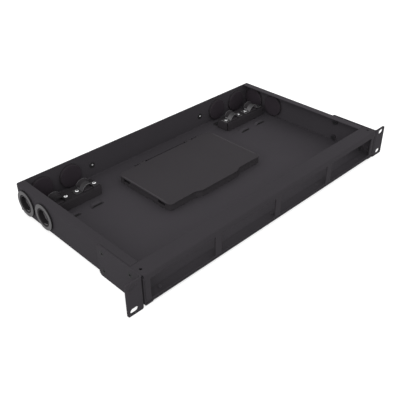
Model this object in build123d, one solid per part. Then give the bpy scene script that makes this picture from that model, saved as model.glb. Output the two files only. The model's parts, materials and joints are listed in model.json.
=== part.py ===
from build123d import *
import os

# Fibre distribution panel for a 19 inch rack, one unit high, shown without its top cover.
# Millimetres. +X runs to the right, +Y to the rear, +Z up.
# The origin is the centre of the four rack slots, on the ears' rear face.

# Rack ears
ear_flange = 22.9
ear_height = 43.6
ear_thickness = 2.0
ear_depth = 77.0
slot_inset = 8.75
slot_spacing_z = 31.75
slot_length = 11.0
slot_width = 7.0
ear_corner = 2.5
ear_screw_front = 19.5
ear_screw_rear = 9.0
ear_screw_spacing_z = 25.0

# Folded body
body_width = 436.8
body_depth = 248.0
body_height = 42.0
body_lift = 1.5
sheet = 1.2
side_flange = 11.2
corner_gap = 0.4
bend = 1.4

# Front panel
panel_sheet = 1.5
panel_bend = 1.6
panel_top_flange = 21.0
panel_low_flange = 14.0
panel_side_tab = 13.0
panel_fit = 0.1
window_count = 4
window_bar = 10.0
window_margin = 9.4
window_top_margin = 8.5
window_low_margin = 5.5
window_corner = 1.5
cover_hole_inset = 5.9
cover_hole_y = 10.5
cover_hole_d = 3.6
low_rivet_count = 5
low_rivet_inset = 28.4
rivet_edge = 5.0

# Cable ports
port_hole_d = 28.2
port_bore_d = 24.0
ring_d = 35.6
ring_proud = 2.5
ring_tail = 2.7
ring_soft = 0.12
ring_inner_edge = 0.3
cap_d = 33.6
cap_floor = 1.5
liner_wall = 1.85
liner_fit = 0.05
liner_recess = 0.2
port_rise = 20.3
side_port_inset = (59.8, 18.8)
rear_port_inset = (76.4, 31.4)

# Cable clamps
bracket_sheet = 1.5
bracket_bend = 1.6
bracket_inner_reach = 19.5
bracket_outer_reach = 21.0
bracket_rear_gap = 22.5
bracket_depth = 24.0
bracket_height = 14.1
bracket_foot = 10.0
bracket_rivet_inset = 7.0
clamp_screw_offset = 13.7
saddle_strap = 1.2
saddle_radius = 9.0
saddle_width = 12.0
saddle_foot = 18.5
saddle_setback = 9.5

# Tie bridges lanced from the floor
bridge_shift = (2.5, -7.0)
bridge_rear_gap = 61.5
bridge_length = 20.0
bridge_width = 6.0
bridge_rise = 2.8
bridge_flat = 12.0

# Splice tray
tray_width = 177.0
tray_depth = 106.0
tray_rear_gap = 37.5
tray_height = 11.1
tray_bulge = 4.5
bulge_half = 33.0
bulge_slope = 10.0
lid_sheet = 1.8
lid_overhang = 0.8
lid_corner = 7.5
lid_facet = 14.0
lid_facet_drop = 0.9
tray_wall = 1.8
tray_floor = 1.6
tray_corner = 5.5
entry_length = 13.0
entry_inset = 11.0
entry_sill = 2.0
knuckle_inset = 43.0
knuckle_width = 6.4
knuckle_radius = 2.2
knuckle_back = 1.8
lug_width = 2.5
hinge_gap = 0.3
hinge_pin_d = 2.0
hinge_run = 0.05

# Inside the splice tray
drum_inset = 32.5
drum_radius = 23.0
drum_wall = 1.6
drum_headroom = 0.7
drum_finger_length = 6.0
drum_finger_width = 5.0
comb_side_gap = 5.0
comb_width = 26.0
comb_gap = 5.0
comb_base = 1.2
comb_headroom = 1.2
comb_rib = 1.1
comb_slots = 6
comb_grip = 14.0
boss_d = 10.0
boss_height = 2.0
stud_inset = 10.0

# Fasteners
m3 = 3.0
m4 = 4.0
m5 = 5.0
thread_fit = 0.03
hole_fit = 0.1
rivet_d = 3.2
rivet_head_d = 5.6
rivet_head_height = 0.9
countersink_d = 7.4
nut_shank_d = 5.4
nut_flange_d = 8.0
nut_flange_height = 2.4
cover_nut_shank_d = 4.2
cover_nut_flange_d = 6.6
cover_nut_height = 1.8
screw_tip = 1.2
clamp_head_d = 5.6
clamp_nut_flange_d = 6.8
clamp_head_height = 2.4
socket_d = 2.9
socket_depth = 1.3
rear_screw_gap = 37.0
rear_head_d = 7.2
rear_head_height = 2.6
rear_washer_d = 10.4
rear_washer_height = 1.2
rear_nut_flats = 8.0
rear_nut_height = 3.2
tray_nut_flats = 7.0
tray_nut_height = 3.0

# Worked out from the sizes above
half_width = body_width / 2
inner_half = half_width - sheet
ear_span = body_width + 2 * ear_flange
slot_spacing_x = ear_span - 2 * slot_inset
front_y = -ear_thickness
rear_y = front_y + body_depth
low_z = -ear_height / 2 + body_lift
top_z = low_z + body_height
floor_low_z = low_z + sheet
floor_z = floor_low_z + sheet
port_z = low_z + port_rise
side_port_y = tuple(rear_y - inset for inset in side_port_inset)
rear_port_x = tuple(half_width - inset for inset in rear_port_inset)
rear_screw_x = rear_port_x[0] - rear_screw_gap
relief = bend + sheet / 2
floor_half = inner_half - (bend - sheet / 2) - panel_fit
rear_half = inner_half - corner_gap
tab_top_z = top_z - panel_sheet
window_width = (body_width - 2 * window_margin - (window_count - 1) * window_bar) / window_count
window_height = body_height - window_top_margin - window_low_margin
window_z = low_z + window_low_margin + window_height / 2
cover_hole_x = half_width - cover_hole_inset
panel_half = inner_half - panel_fit
flange_end_y = front_y + panel_top_flange
cover_screw_y = front_y + cover_hole_y
ear_screw_y = (front_y + ear_screw_front, front_y + ear_depth - ear_screw_rear)
ear_screw_z = (-ear_screw_spacing_z / 2, ear_screw_spacing_z / 2)
low_rivet_half = half_width - low_rivet_inset
low_rivet_pitch = 2 * low_rivet_half / (low_rivet_count - 1)
low_rivet_x = tuple(number * low_rivet_pitch - low_rivet_half for number in range(low_rivet_count))
low_rivet_y = front_y + panel_low_flange - rivet_edge
side_rivet_y = front_y + panel_side_tab - rivet_edge
side_rivet_z = (-window_height / 4, window_height / 4)
bracket_top_z = floor_z + bracket_height
bracket_rear_y = rear_y - bracket_rear_gap
bracket_front_y = bracket_rear_y - bracket_depth
bracket_inner_x = rear_port_x[0] - bracket_inner_reach
bracket_outer_x = rear_port_x[1] + bracket_outer_reach
bracket_rivet_x = (bracket_inner_x + bracket_rivet_inset, (bracket_inner_x + bracket_outer_x) / 2,
                   bracket_outer_x - bracket_rivet_inset)
bracket_rivet_y = bracket_rear_y + bracket_foot / 2
saddle_y = bracket_front_y + saddle_setback
bridge_x = tuple(x + shift for x, shift in zip(rear_port_x, bridge_shift))
bridge_y = rear_y - bridge_rear_gap
clamp_x = rear_port_x
lid_top_z = floor_z + tray_height
lid_low_z = lid_top_z - lid_sheet
tray_half = tray_width / 2
tray_rear_y = rear_y - tray_rear_gap
tray_front_y = tray_rear_y - tray_depth
tray_mid_y = (tray_front_y + tray_rear_y) / 2
base_rear_y = tray_rear_y - lid_overhang
hinge_y = tray_rear_y + knuckle_back
hinge_z = lid_top_z - knuckle_radius
knuckle_x = tray_half - knuckle_inset
lug_half = knuckle_width / 2 + hinge_gap + lug_width
stud_y = (tray_front_y + stud_inset, tray_rear_y - stud_inset)
tray_floor_z = floor_z + tray_floor
boss_top_z = tray_floor_z + boss_height
drum_x = tray_half - drum_inset
drum_height = lid_low_z - tray_floor_z - drum_headroom
comb_length = 2 * (drum_x - drum_radius - comb_side_gap)
comb_height = lid_low_z - tray_floor_z - comb_headroom


def block(x0, x1, y0, y1, z0, z1):
    """A rectangular block between two corners."""
    return Pos((x0 + x1) / 2, (y0 + y1) / 2, (z0 + z1) / 2) * Box(x1 - x0, y1 - y0, z1 - z0)


def along_x(x, y, z):
    """A place whose local +Z runs along +X."""
    return Pos(x, y, z) * Rot(0, 90, 0)


def along_y(x, y, z):
    """A place whose local +Z runs along +Y."""
    return Pos(x, y, z) * Rot(-90, 0, 0)


def drill(place, diameter, depth):
    """A round cutter that starts at the place and runs along its +Z."""
    return place * Cylinder(diameter / 2, depth, align=(Align.CENTER, Align.CENTER, Align.MIN))


def turned(points):
    """A turned body from (radius, height) points, about its own +Z."""
    return revolve(Plane.XZ * make_face(Polyline(*points, close=True)), Axis.Z)


def strip_xz(points, radius, thickness, y0, y1):
    """A folded sheet whose mid line lies in X and Z, run from y0 to y1."""
    line = FilletPolyline(*points, radius=radius)
    plane = Plane(origin=(0, (y0 + y1) / 2, 0), x_dir=(1, 0, 0), z_dir=(0, -1, 0))
    return extrude(plane * trace(line, line_width=thickness), amount=(y1 - y0) / 2, both=True)


def strip_yz(points, radius, thickness, x0, x1):
    """A folded sheet whose mid line lies in Y and Z, run from x0 to x1."""
    line = FilletPolyline(*points, radius=radius)
    plane = Plane(origin=((x0 + x1) / 2, 0, 0), x_dir=(0, 1, 0), z_dir=(1, 0, 0))
    return extrude(plane * trace(line, line_width=thickness), amount=(x1 - x0) / 2, both=True)


def strip_xy(points, radius, thickness, z0, z1):
    """A folded sheet whose mid line lies in X and Y, run from z0 to z1."""
    line = FilletPolyline(*points, radius=radius)
    plane = Plane.XY.offset((z0 + z1) / 2)
    return extrude(plane * trace(line, line_width=thickness), amount=(z1 - z0) / 2, both=True)


def mirrored(shape):
    """The same piece on the other side of the middle."""
    return mirror(shape, about=Plane.YZ)


def wall_angle(flange_z, y0, y1):
    """Half a side wall's section on the right: the wall from its middle to an inward flange."""
    wall = half_width - sheet / 2
    lip = half_width - side_flange
    return strip_xz([(wall, port_z), (wall, flange_z), (lip, flange_z)], bend, sheet, y0, y1)


def side_wall():
    """The right side wall: a folded channel whose top flange steps down under the front panel."""
    tab_start = front_y + panel_bend + panel_sheet / 2 + corner_gap
    tab_end = flange_end_y - 2 * sheet
    wall = wall_angle(low_z + sheet / 2, front_y, rear_y)
    wall += block(inner_half, half_width, front_y, rear_y, port_z - sheet, tab_top_z - relief)
    wall += wall_angle(tab_top_z - sheet / 2, tab_start, tab_end)
    wall += wall_angle(top_z - sheet / 2, flange_end_y + corner_gap, rear_y)
    reach = 2 * sheet
    start = inner_half - reach
    for y in side_port_y:
        wall -= drill(along_x(start, y, port_z), port_hole_d, 3 * reach)
    for z in ear_screw_z:
        for y in ear_screw_y:
            wall -= drill(along_x(start, y, z), nut_shank_d + 2 * thread_fit, 3 * reach)
    for z in side_rivet_z:
        wall -= drill(along_x(start, side_rivet_y, z), rivet_d + 2 * thread_fit, 3 * reach)
    wall -= drill(Pos(cover_hole_x, cover_screw_y, tab_top_z - reach),
                  cover_nut_shank_d + 2 * thread_fit, 1.5 * reach)
    return wall


def tie_bridge(x):
    """A strip lanced up out of the floor for a cable tie, and the slot that it leaves."""
    low = floor_low_z + sheet / 2
    high = low + bridge_rise
    end = bridge_length / 2
    flat = bridge_flat / 2
    points = [(x - end - sheet, low), (x - end, low), (x - flat, high)]
    points += [(x + flat, high), (x + end, low), (x + end + sheet, low)]
    strip = strip_xz(points, bend, sheet, bridge_y - bridge_width / 2, bridge_y + bridge_width / 2)
    slot = block(x - end, x + end, bridge_y - bridge_width / 2 - corner_gap,
                 bridge_y + bridge_width / 2 + corner_gap, floor_low_z - sheet, floor_z + sheet)
    return strip, slot


def chassis_pan():
    """The pan: the floor, with the rear wall folded up from it, port holes and tie bridges."""
    pan = block(-floor_half, floor_half, front_y, rear_y - relief, floor_low_z, floor_z)
    wall_y = rear_y - sheet / 2
    mid_z = floor_low_z + sheet / 2
    rear = strip_yz([(rear_y - 2 * relief, mid_z), (wall_y, mid_z), (wall_y, top_z)], bend, sheet,
                    -rear_half, rear_half)
    notch_x = half_width - side_flange - corner_gap
    for side in (-1, 1):
        for near_x, low, high in ((notch_x, top_z - sheet - corner_gap, top_z + 1),
                                  (floor_half, low_z, floor_low_z + relief)):
            cut_from = min(side * near_x, side * half_width)
            cut_to = max(side * near_x, side * half_width)
            rear -= block(cut_from, cut_to, rear_y - 3 * relief, rear_y + 1, low, high)
    pan += rear
    for x in bridge_x:
        for side in (-1, 1):
            strip, slot = tie_bridge(side * x)
            pan = pan - slot + strip
    reach = 2 * sheet
    for side in (-1, 1):
        for x in rear_port_x:
            pan -= drill(along_y(side * x, rear_y - reach, port_z), port_hole_d, reach * 1.5)
        pan -= drill(along_y(side * rear_screw_x, rear_y - reach, port_z), m5 + 2 * hole_fit, reach * 1.5)
        for x in bracket_rivet_x:
            pan -= drill(Pos(side * x, bracket_rivet_y, low_z), rivet_d + 2 * thread_fit, 3 * reach)
    for x in low_rivet_x:
        pan -= drill(Pos(x, low_rivet_y, low_z), rivet_d + 2 * thread_fit, 3 * reach)
    for y in stud_y:
        pan -= drill(Pos(0, y, low_z), m4 + 2 * thread_fit, 3 * reach)
    return pan


def front_panel():
    """The windowed front, with a deep top flange, a low flange and side tabs."""
    face_y = front_y + panel_sheet / 2
    low = floor_z + panel_sheet / 2
    high = top_z - panel_sheet / 2
    points = [(front_y + panel_low_flange, low), (face_y, low), (face_y, high), (flange_end_y, high)]
    panel = strip_yz(points, panel_bend, panel_sheet, -panel_half, panel_half)
    corner = panel_bend + panel_sheet / 2
    wing_start = front_y + corner
    panel += block(-half_width, half_width, wing_start, flange_end_y, tab_top_z, top_z)
    tab_x = panel_half - panel_sheet / 2
    tab_half = window_height / 2
    for side in (-1, 1):
        cut_from = min(side * (panel_half - corner), side * (panel_half + 1))
        cut_to = max(side * (panel_half - corner), side * (panel_half + 1))
        panel -= block(cut_from, cut_to, front_y - 1, wing_start, -tab_half, tab_half)
        tab_points = [(side * (panel_half - 2 * corner), face_y), (side * tab_x, face_y)]
        tab_points += [(side * tab_x, front_y + panel_side_tab)]
        panel += strip_xy(tab_points, panel_bend, panel_sheet, -tab_half, tab_half)
    window = Plane.XZ * RectangleRounded(window_width, window_height, window_corner)
    cutter = extrude(window, amount=2 * panel_sheet, both=True)
    pitch = window_width + window_bar
    first = -(window_count - 1) / 2 * pitch
    for number in range(window_count):
        panel -= Pos(first + number * pitch, face_y, window_z) * cutter
    for side in (-1, 1):
        panel -= drill(Pos(side * cover_hole_x, cover_screw_y, tab_top_z - 1), cover_hole_d, 4)
        for z in side_rivet_z:
            start = side * panel_half - 2 * panel_sheet
            panel -= drill(along_x(start, side_rivet_y, z), rivet_d + 2 * thread_fit, 4 * panel_sheet)
    for x in low_rivet_x:
        panel -= drill(Pos(x, low_rivet_y, floor_z - 1), rivet_d + 2 * thread_fit, 2 * panel_sheet)
    return panel


def rack_ear():
    """The right ear: an angle with two slots and four countersunk holes."""
    mid_x = half_width + ear_thickness / 2
    mid_y = -ear_thickness / 2
    tail_y = front_y + ear_depth
    half = ear_height / 2
    points = [(ear_span / 2, mid_y), (mid_x, mid_y), (mid_x, tail_y)]
    ear = strip_xy(points, 1.5 * ear_thickness, ear_thickness, -half, half)
    rim = ear.edges().filter_by(Axis.Y).group_by(Axis.X)[-1]
    ear = fillet(rim, ear_corner)
    tail = ear.edges().filter_by(Axis.X).group_by(Axis.Y)[-1]
    ear = fillet(tail, 2 * ear_corner)
    slot = extrude(Plane.XZ * SlotOverall(slot_length, slot_width), amount=2 * ear_thickness, both=True)
    for z in (-slot_spacing_z / 2, slot_spacing_z / 2):
        ear -= Pos(slot_spacing_x / 2, 0, z) * slot
    for y in ear_screw_y:
        for z in ear_screw_z:
            ear -= ear_screw_cutter(y, z)
    return ear


def ear_screw_points(extra):
    """Radius and height of a countersunk screw from its flat head, grown by extra."""
    head = countersink_d / 2 + extra
    shank = m4 / 2 + extra
    return head, shank, head - shank


def ear_screw_cutter(y, z):
    """The countersunk hole for one ear screw, cut from outside."""
    head, shank, cone = ear_screw_points(thread_fit)
    depth = 2 * ear_thickness
    points = [(0, 0), (head, 0), (shank, cone), (shank, depth), (0, depth)]
    return along_x(half_width + ear_thickness, y, z) * Rot(180, 0, 0) * turned(points)


def ear_screws():
    """Four countersunk screws of the right ear, with hex sockets."""
    head, shank, cone = ear_screw_points(0)
    length = ear_thickness + sheet + nut_flange_height + screw_tip
    points = [(0, 0), (head, 0), (shank, cone), (shank, length), (0, length)]
    screw = turned(points)
    screw -= extrude(RegularPolygon(socket_d / 2, 6), amount=socket_depth)
    flush = half_width + ear_thickness
    return [along_x(flush, y, z) * Rot(180, 0, 0) * screw for y in ear_screw_y for z in ear_screw_z]


def clinch_nut(shank_d, flange_d, flange_height, shank_height, bore_d):
    """A clinch nut that stands on a sheet, with its shank down through the sheet."""
    bore = bore_d / 2 + thread_fit
    points = [(bore, -shank_height), (shank_d / 2, -shank_height), (shank_d / 2, 0)]
    points += [(flange_d / 2, 0), (flange_d / 2, flange_height), (bore, flange_height)]
    return turned(points)


def ear_nuts():
    """Four clinch nuts inside the right wall."""
    nut = clinch_nut(nut_shank_d, nut_flange_d, nut_flange_height, sheet - hole_fit, m4)
    return [along_x(inner_half, y, z) * Rot(180, 0, 0) * nut for y in ear_screw_y for z in ear_screw_z]


def cover_nuts():
    """Two clinch nuts under the front flange, for the cover screws."""
    nut = clinch_nut(cover_nut_shank_d, cover_nut_flange_d, cover_nut_height, sheet - hole_fit, m3)
    low = tab_top_z - sheet
    return [Pos(side * cover_hole_x, cover_screw_y, low) * Rot(180, 0, 0) * nut for side in (-1, 1)]


def rivet(grip):
    """A rivet with its dome at the top and its tail flush below, for two sheets of that grip."""
    rim = rivet_head_height * 0.4
    points = [(0, -grip), (rivet_d / 2, -grip), (rivet_d / 2, 0), (rivet_head_d / 2, 0)]
    points += [(rivet_head_d / 2, rim), (rivet_d / 2, rivet_head_height), (0, rivet_head_height)]
    return turned(points)


def panel_rivets():
    """Rivets that hold the front panel to the floor and to the side walls."""
    piece = rivet(sheet + panel_sheet - hole_fit)
    group = [Pos(x, low_rivet_y, floor_z + panel_sheet) * piece for x in low_rivet_x]
    side_piece = rivet(sheet + panel_sheet)
    inside = panel_half - panel_sheet
    for z in side_rivet_z:
        group.append(along_x(inside, side_rivet_y, z) * Rot(180, 0, 0) * side_piece)
        group.append(along_x(-inside, side_rivet_y, z) * side_piece)
    return group


def port_ring():
    """The light bush of a port: a proud rim outside and a tail through the wall. +Z is outwards."""
    bore = port_bore_d / 2
    tail = (port_hole_d - 2 * hole_fit) / 2
    low = -(sheet + ring_tail)
    soft = ring_proud * ring_soft
    points = [(bore, low), (tail, low), (tail, 0), (ring_d / 2, 0), (ring_d / 2, ring_proud - soft)]
    points += [(ring_d / 2 - soft, ring_proud), (bore + ring_inner_edge, ring_proud)]
    points += [(bore, ring_proud - ring_inner_edge)]
    return turned(points)


def port_cap():
    """The black cap that closes a port from inside. A liner runs out through the ring, and the
    cap's floor carries a cross of weak lines."""
    recess = port_hole_d / 2
    deep = ring_tail + cap_floor
    soft = cap_floor * 0.5
    rim = cap_d / 2 - soft
    dish = port_bore_d / 2
    liner = port_bore_d / 2 - liner_fit
    tip = sheet + ring_proud - liner_recess
    points = [(0, -ring_tail), (liner - liner_wall, -ring_tail), (liner - liner_wall, tip), (liner, tip)]
    points += [(liner, -ring_tail), (recess, -ring_tail), (recess, 0), (cap_d / 2, 0)]
    points += [(cap_d / 2, soft - deep), (rim, -deep), (dish, -deep)]
    points += [(dish - soft, soft - deep), (0, soft - deep)]
    cap = turned(points)
    groove = soft / 2
    for turn in (0, 90):
        line = Rot(0, 0, turn) * Box(port_bore_d * 0.6, groove, groove)
        cap -= Pos(0, 0, -ring_tail) * line
    return cap


def port_places():
    """Each port's name and its place on the outer wall face, with local +Z outwards."""
    places = {}
    for name, y in zip(("front", "rear"), side_port_y):
        places["left_" + name] = along_x(-half_width, y, port_z) * Rot(180, 0, 0)
        places["right_" + name] = along_x(half_width, y, port_z)
    for name, x in zip(("inner", "outer"), rear_port_x):
        places["back_left_" + name] = along_y(-x, rear_y, port_z)
        places["back_right_" + name] = along_y(x, rear_y, port_z)
    return places


def clamp_bracket():
    """The right clamp bracket: a folded bridge with four down-turned sides and a rear foot."""
    mid = bracket_sheet / 2
    front = bracket_front_y + mid
    rear = bracket_rear_y - mid
    top = bracket_top_z - mid
    foot = bracket_rear_y + bracket_foot
    points = [(front, floor_z), (front, top), (rear, top), (rear, floor_z + mid), (foot, floor_z + mid)]
    inset = bracket_sheet + corner_gap
    bridge = strip_yz(points, bracket_bend, bracket_sheet, bracket_inner_x + inset, bracket_outer_x - inset)
    low_x = bracket_inner_x + mid
    high_x = bracket_outer_x - mid
    low = floor_z + corner_gap
    ends = [(low_x, low), (low_x, top), (high_x, top), (high_x, low)]
    cap_front = bracket_front_y + bracket_bend + mid
    cap_rear = bracket_rear_y - bracket_bend - mid
    bridge += strip_xz(ends, bracket_bend, bracket_sheet, cap_front, cap_rear)
    nut_hole = nut_shank_d + 2 * thread_fit
    for x in clamp_x:
        for offset in (-clamp_screw_offset, clamp_screw_offset):
            start = Pos(x + offset, saddle_y, bracket_top_z - 2 * bracket_sheet)
            bridge -= drill(start, nut_hole, 4 * bracket_sheet)
    for x in bracket_rivet_x:
        bridge -= drill(Pos(x, bracket_rivet_y, floor_z - 1), rivet_d + 2 * thread_fit, 2 * bracket_sheet)
    return bridge


def bracket_rivets():
    """Three rivets through the right bracket's foot and the floor."""
    piece = rivet(sheet + bracket_sheet - hole_fit)
    return [Pos(x, bracket_rivet_y, floor_z + bracket_sheet) * piece for x in bracket_rivet_x]


def saddle():
    """A pressed strap: two flat feet and an arch over the cable, about its own middle."""
    inner = saddle_radius - saddle_strap
    foot_rise = saddle_strap / 2
    profile = Pos(0, foot_rise) * Rectangle(2 * saddle_foot, saddle_strap)
    profile += Circle(saddle_radius)
    profile -= Circle(inner)
    profile -= Pos(0, -saddle_radius) * Rectangle(4 * saddle_radius, 2 * saddle_radius)
    strap = extrude(Plane.XZ * profile, amount=saddle_width / 2, both=True)
    creases = strap.edges().filter_by(Axis.Y)
    creases = creases.filter_by_position(Axis.Z, saddle_strap * 0.9, saddle_strap * 1.1)
    creases = creases.filter_by_position(Axis.X, -saddle_radius * 1.05, saddle_radius * 1.05)
    strap = fillet(creases, 0.8 * saddle_strap)
    upright = strap.edges().filter_by(Axis.Z).group_by(Axis.X)
    strap = fillet(upright[0] + upright[-1], 2 * saddle_strap)
    for offset in (-clamp_screw_offset, clamp_screw_offset):
        strap -= drill(Pos(offset, 0, -1), m3 + 2 * hole_fit, 4)
    return strap


def clamp_screws():
    """Four pan head screws with sockets that draw the right saddles down."""
    stem = m3 / 2
    head = clamp_head_d / 2
    length = saddle_strap + bracket_sheet + nut_flange_height + screw_tip
    soft = clamp_head_height * 0.15
    points = [(0, -length), (stem, -length), (stem, 0), (head, 0), (head, clamp_head_height - soft)]
    points += [(head - soft, clamp_head_height), (0, clamp_head_height)]
    screw = turned(points)
    screw -= Pos(0, 0, clamp_head_height - socket_depth) * extrude(RegularPolygon(socket_d / 2, 6), amount=4)
    seat = bracket_top_z + saddle_strap
    return [Pos(x + offset, saddle_y, seat) * screw
            for x in clamp_x for offset in (-clamp_screw_offset, clamp_screw_offset)]


def clamp_nuts():
    """Four clinch nuts under the right bracket's top."""
    nut = clinch_nut(nut_shank_d, clamp_nut_flange_d, nut_flange_height, bracket_sheet - hole_fit, m3)
    low = bracket_top_z - bracket_sheet
    return [Pos(x + offset, saddle_y, low) * Rot(180, 0, 0) * nut
            for x in clamp_x for offset in (-clamp_screw_offset, clamp_screw_offset)]


def tray_outline(inset, corner):
    """The tray's plan: a rectangle whose front edge bulges forward in the middle."""
    side = tray_half - inset
    front = tray_front_y + inset
    rear = tray_rear_y - inset
    nose = front - tray_bulge
    slope = bulge_half + bulge_slope
    points = [(-side, front), (-slope, front), (-bulge_half, nose), (bulge_half, nose), (slope, front)]
    points += [(side, front), (side, rear), (-side, rear)]
    face = make_face(Polyline(*points, close=True))
    ends = face.vertices().filter_by_position(Axis.X, -side - 1, -side + 1)
    ends += face.vertices().filter_by_position(Axis.X, side - 1, side + 1)
    return fillet(ends, corner)


def splice_tray_base():
    """The moulded base: outer wall, fibre entries, hinge lugs and two bosses."""
    base = extrude(Plane.XY.offset(floor_z) * tray_outline(lid_overhang, tray_corner),
                   amount=lid_low_z - floor_z)
    hollow = tray_outline(lid_overhang + tray_wall, tray_corner - tray_wall)
    base -= extrude(Plane.XY.offset(tray_floor_z) * hollow, amount=tray_height)
    sill = tray_floor_z + entry_sill
    wide = tray_half + 1
    deep = tray_half - lid_overhang - 2 * tray_wall
    for y in (tray_front_y + entry_inset, tray_rear_y - entry_inset - entry_length):
        base -= block(-wide, -deep, y, y + entry_length, sill, lid_top_z)
        base -= block(deep, wide, y, y + entry_length, sill, lid_top_z)
    base += hinge_lugs()
    for y in stud_y:
        base += Pos(0, y, tray_floor_z) * Cylinder(boss_d / 2, boss_height,
                                                   align=(Align.CENTER, Align.CENTER, Align.MIN))
    for y in stud_y:
        base -= drill(Pos(0, y, floor_z - 1), m4 + 2 * hole_fit, tray_height)
    return base


def hinge_lugs():
    """The four lugs behind the base that hold the hinge pins, each a web under a round eye."""
    wall_y = base_rear_y - tray_wall / 2
    slope = hinge_y - base_rear_y + knuckle_radius
    lug_mid = knuckle_width / 2 + hinge_gap + lug_width / 2
    web = [(wall_y, hinge_z), (hinge_y, hinge_z), (hinge_y + knuckle_radius, hinge_z)]
    web += [(hinge_y + knuckle_radius, hinge_z - hinge_gap), (wall_y, hinge_z - hinge_gap - slope)]
    lugs = []
    for side in (-1, 1):
        start = side * knuckle_x - lug_half - 1
        bore = drill(along_x(start, hinge_y, hinge_z), hinge_pin_d + 2 * thread_fit, 2 * lug_half + 2)
        for step in (-1, 1):
            x = side * knuckle_x + step * lug_mid
            plane = Plane(origin=(x, 0, 0), x_dir=(0, 1, 0), z_dir=(1, 0, 0))
            lug = extrude(plane * make_face(Polyline(*web, close=True)), amount=lug_width / 2, both=True)
            lug += along_x(x, hinge_y, hinge_z) * Cylinder(knuckle_radius, lug_width)
            lugs.append(lug - bore)
    return lugs


def splice_tray_lid():
    """The lid: a plate with the tray's plan, sloped corners, lug notches and hinge knuckles."""
    lid = extrude(Plane.XY.offset(lid_low_z) * tray_outline(0, lid_corner), amount=lid_sheet)
    for x_side in (-1, 1):
        for y, y_side in ((tray_front_y, -1), (tray_rear_y, 1)):
            lid -= corner_facet(x_side, y, y_side)
    notch_front = base_rear_y - hinge_gap - 0.1
    for side in (-1, 1):
        middle = side * knuckle_x
        lid -= block(middle - lug_half - hinge_gap, middle + lug_half + hinge_gap,
                     notch_front, tray_rear_y + 1, lid_low_z - 1, lid_top_z + 1)
        knuckle = along_x(middle, hinge_y, hinge_z) * Cylinder(knuckle_radius, knuckle_width)
        arm = block(middle - knuckle_width / 2, middle + knuckle_width / 2,
                    notch_front - 1, hinge_y, lid_low_z, lid_top_z)
        lid += arm + knuckle
        lid -= drill(along_x(middle - lug_half, hinge_y, hinge_z), hinge_pin_d + 2 * hinge_run, 2 * lug_half)
    return lid


def corner_facet(x_side, y, y_side):
    """The wedge that slopes one corner of the lid down towards its tip."""
    tip = (x_side * (tray_half + 1), y + y_side, lid_top_z - lid_facet_drop)
    along_front = (x_side * (tray_half - lid_facet), y + y_side, lid_top_z)
    along_end = (x_side * (tray_half + 1), y - y_side * lid_facet, lid_top_z)
    over = (x_side * (tray_half + 1), y + y_side, lid_top_z + 1)
    faces = [make_face(Polyline(tip, along_front, along_end, close=True))]
    faces.append(make_face(Polyline(tip, along_front, over, close=True)))
    faces.append(make_face(Polyline(tip, along_end, over, close=True)))
    faces.append(make_face(Polyline(along_front, along_end, over, close=True)))
    return Solid(Shell(faces))


def hinge_pin():
    """The right hinge pin, through two lugs and a knuckle."""
    return along_x(knuckle_x, hinge_y, hinge_z) * Cylinder(hinge_pin_d / 2, 2 * lug_half)


def splice_comb():
    """One comb: a base with ribs in two rows that grip the ends of the splice sleeves."""
    comb = Box(comb_length, comb_width, comb_base, align=(Align.CENTER, Align.CENTER, Align.MIN))
    pitch = (comb_width - comb_rib) / comb_slots
    for number in range(comb_slots + 1):
        y = -comb_width / 2 + comb_rib / 2 + number * pitch
        for side in (-1, 1):
            x = side * (comb_length - comb_grip) / 2
            rib = Box(comb_grip, comb_rib, comb_height, align=(Align.CENTER, Align.CENTER, Align.MIN))
            rib = chamfer(rib.edges().group_by(Axis.Z)[-1].filter_by(Axis.X), comb_rib * 0.35)
            comb += Pos(x, y, 0) * rib
    return comb


def fibre_drum():
    """One bend drum: an open ring with four fingers over the fibre path."""
    drum = Cylinder(drum_radius, drum_height, align=(Align.CENTER, Align.CENTER, Align.MIN))
    drum -= Cylinder(drum_radius - drum_wall, drum_height, align=(Align.CENTER, Align.CENTER, Align.MIN))
    for turn in (45, 135, 225, 315):
        reach = drum_radius + drum_finger_length / 2 - drum_wall / 2
        finger = Box(drum_finger_length + drum_wall, drum_finger_width, drum_wall,
                     align=(Align.CENTER, Align.CENTER, Align.MAX))
        drum += Rot(0, 0, turn) * Pos(reach, 0, drum_height) * finger
    return drum


def tray_studs():
    """Two studs pressed into the floor, which stand up through the tray's bosses."""
    height = boss_top_z - floor_z + tray_nut_height + screw_tip
    points = [(0, -sheet), (m4 / 2, -sheet), (m4 / 2, height), (0, height)]
    return [Pos(0, y, floor_z) * turned(points) for y in stud_y]


def hex_nut(flats, height, bore_d):
    """A plain hex nut with its low face at its own origin."""
    nut = extrude(RegularPolygon(flats / 2, 6, major_radius=False), amount=height)
    return nut - drill(Pos(0, 0, -1), bore_d + 2 * thread_fit, height + 2)


def tray_nuts():
    """The nuts that hold the tray on its studs."""
    return [Pos(0, y, boss_top_z) * hex_nut(tray_nut_flats, tray_nut_height, m4) for y in stud_y]


def rear_screws():
    """Two pan head screws in the rear wall, with their heads inside."""
    stem = m5 / 2
    head = rear_head_d / 2
    length = rear_washer_height + sheet + rear_nut_height + screw_tip
    soft = rear_head_height * 0.4
    points = [(0, -length), (stem, -length), (stem, 0), (head, 0), (head, rear_head_height - soft)]
    points += [(head - soft, rear_head_height), (0, rear_head_height)]
    screw = turned(points)
    screw -= Pos(0, 0, rear_head_height - socket_depth) * extrude(RegularPolygon(socket_d / 2, 6), amount=4)
    seat = rear_y - sheet - rear_washer_height
    return [along_y(side * rear_screw_x, seat, port_z) * Rot(180, 0, 0) * screw for side in (-1, 1)]


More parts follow.
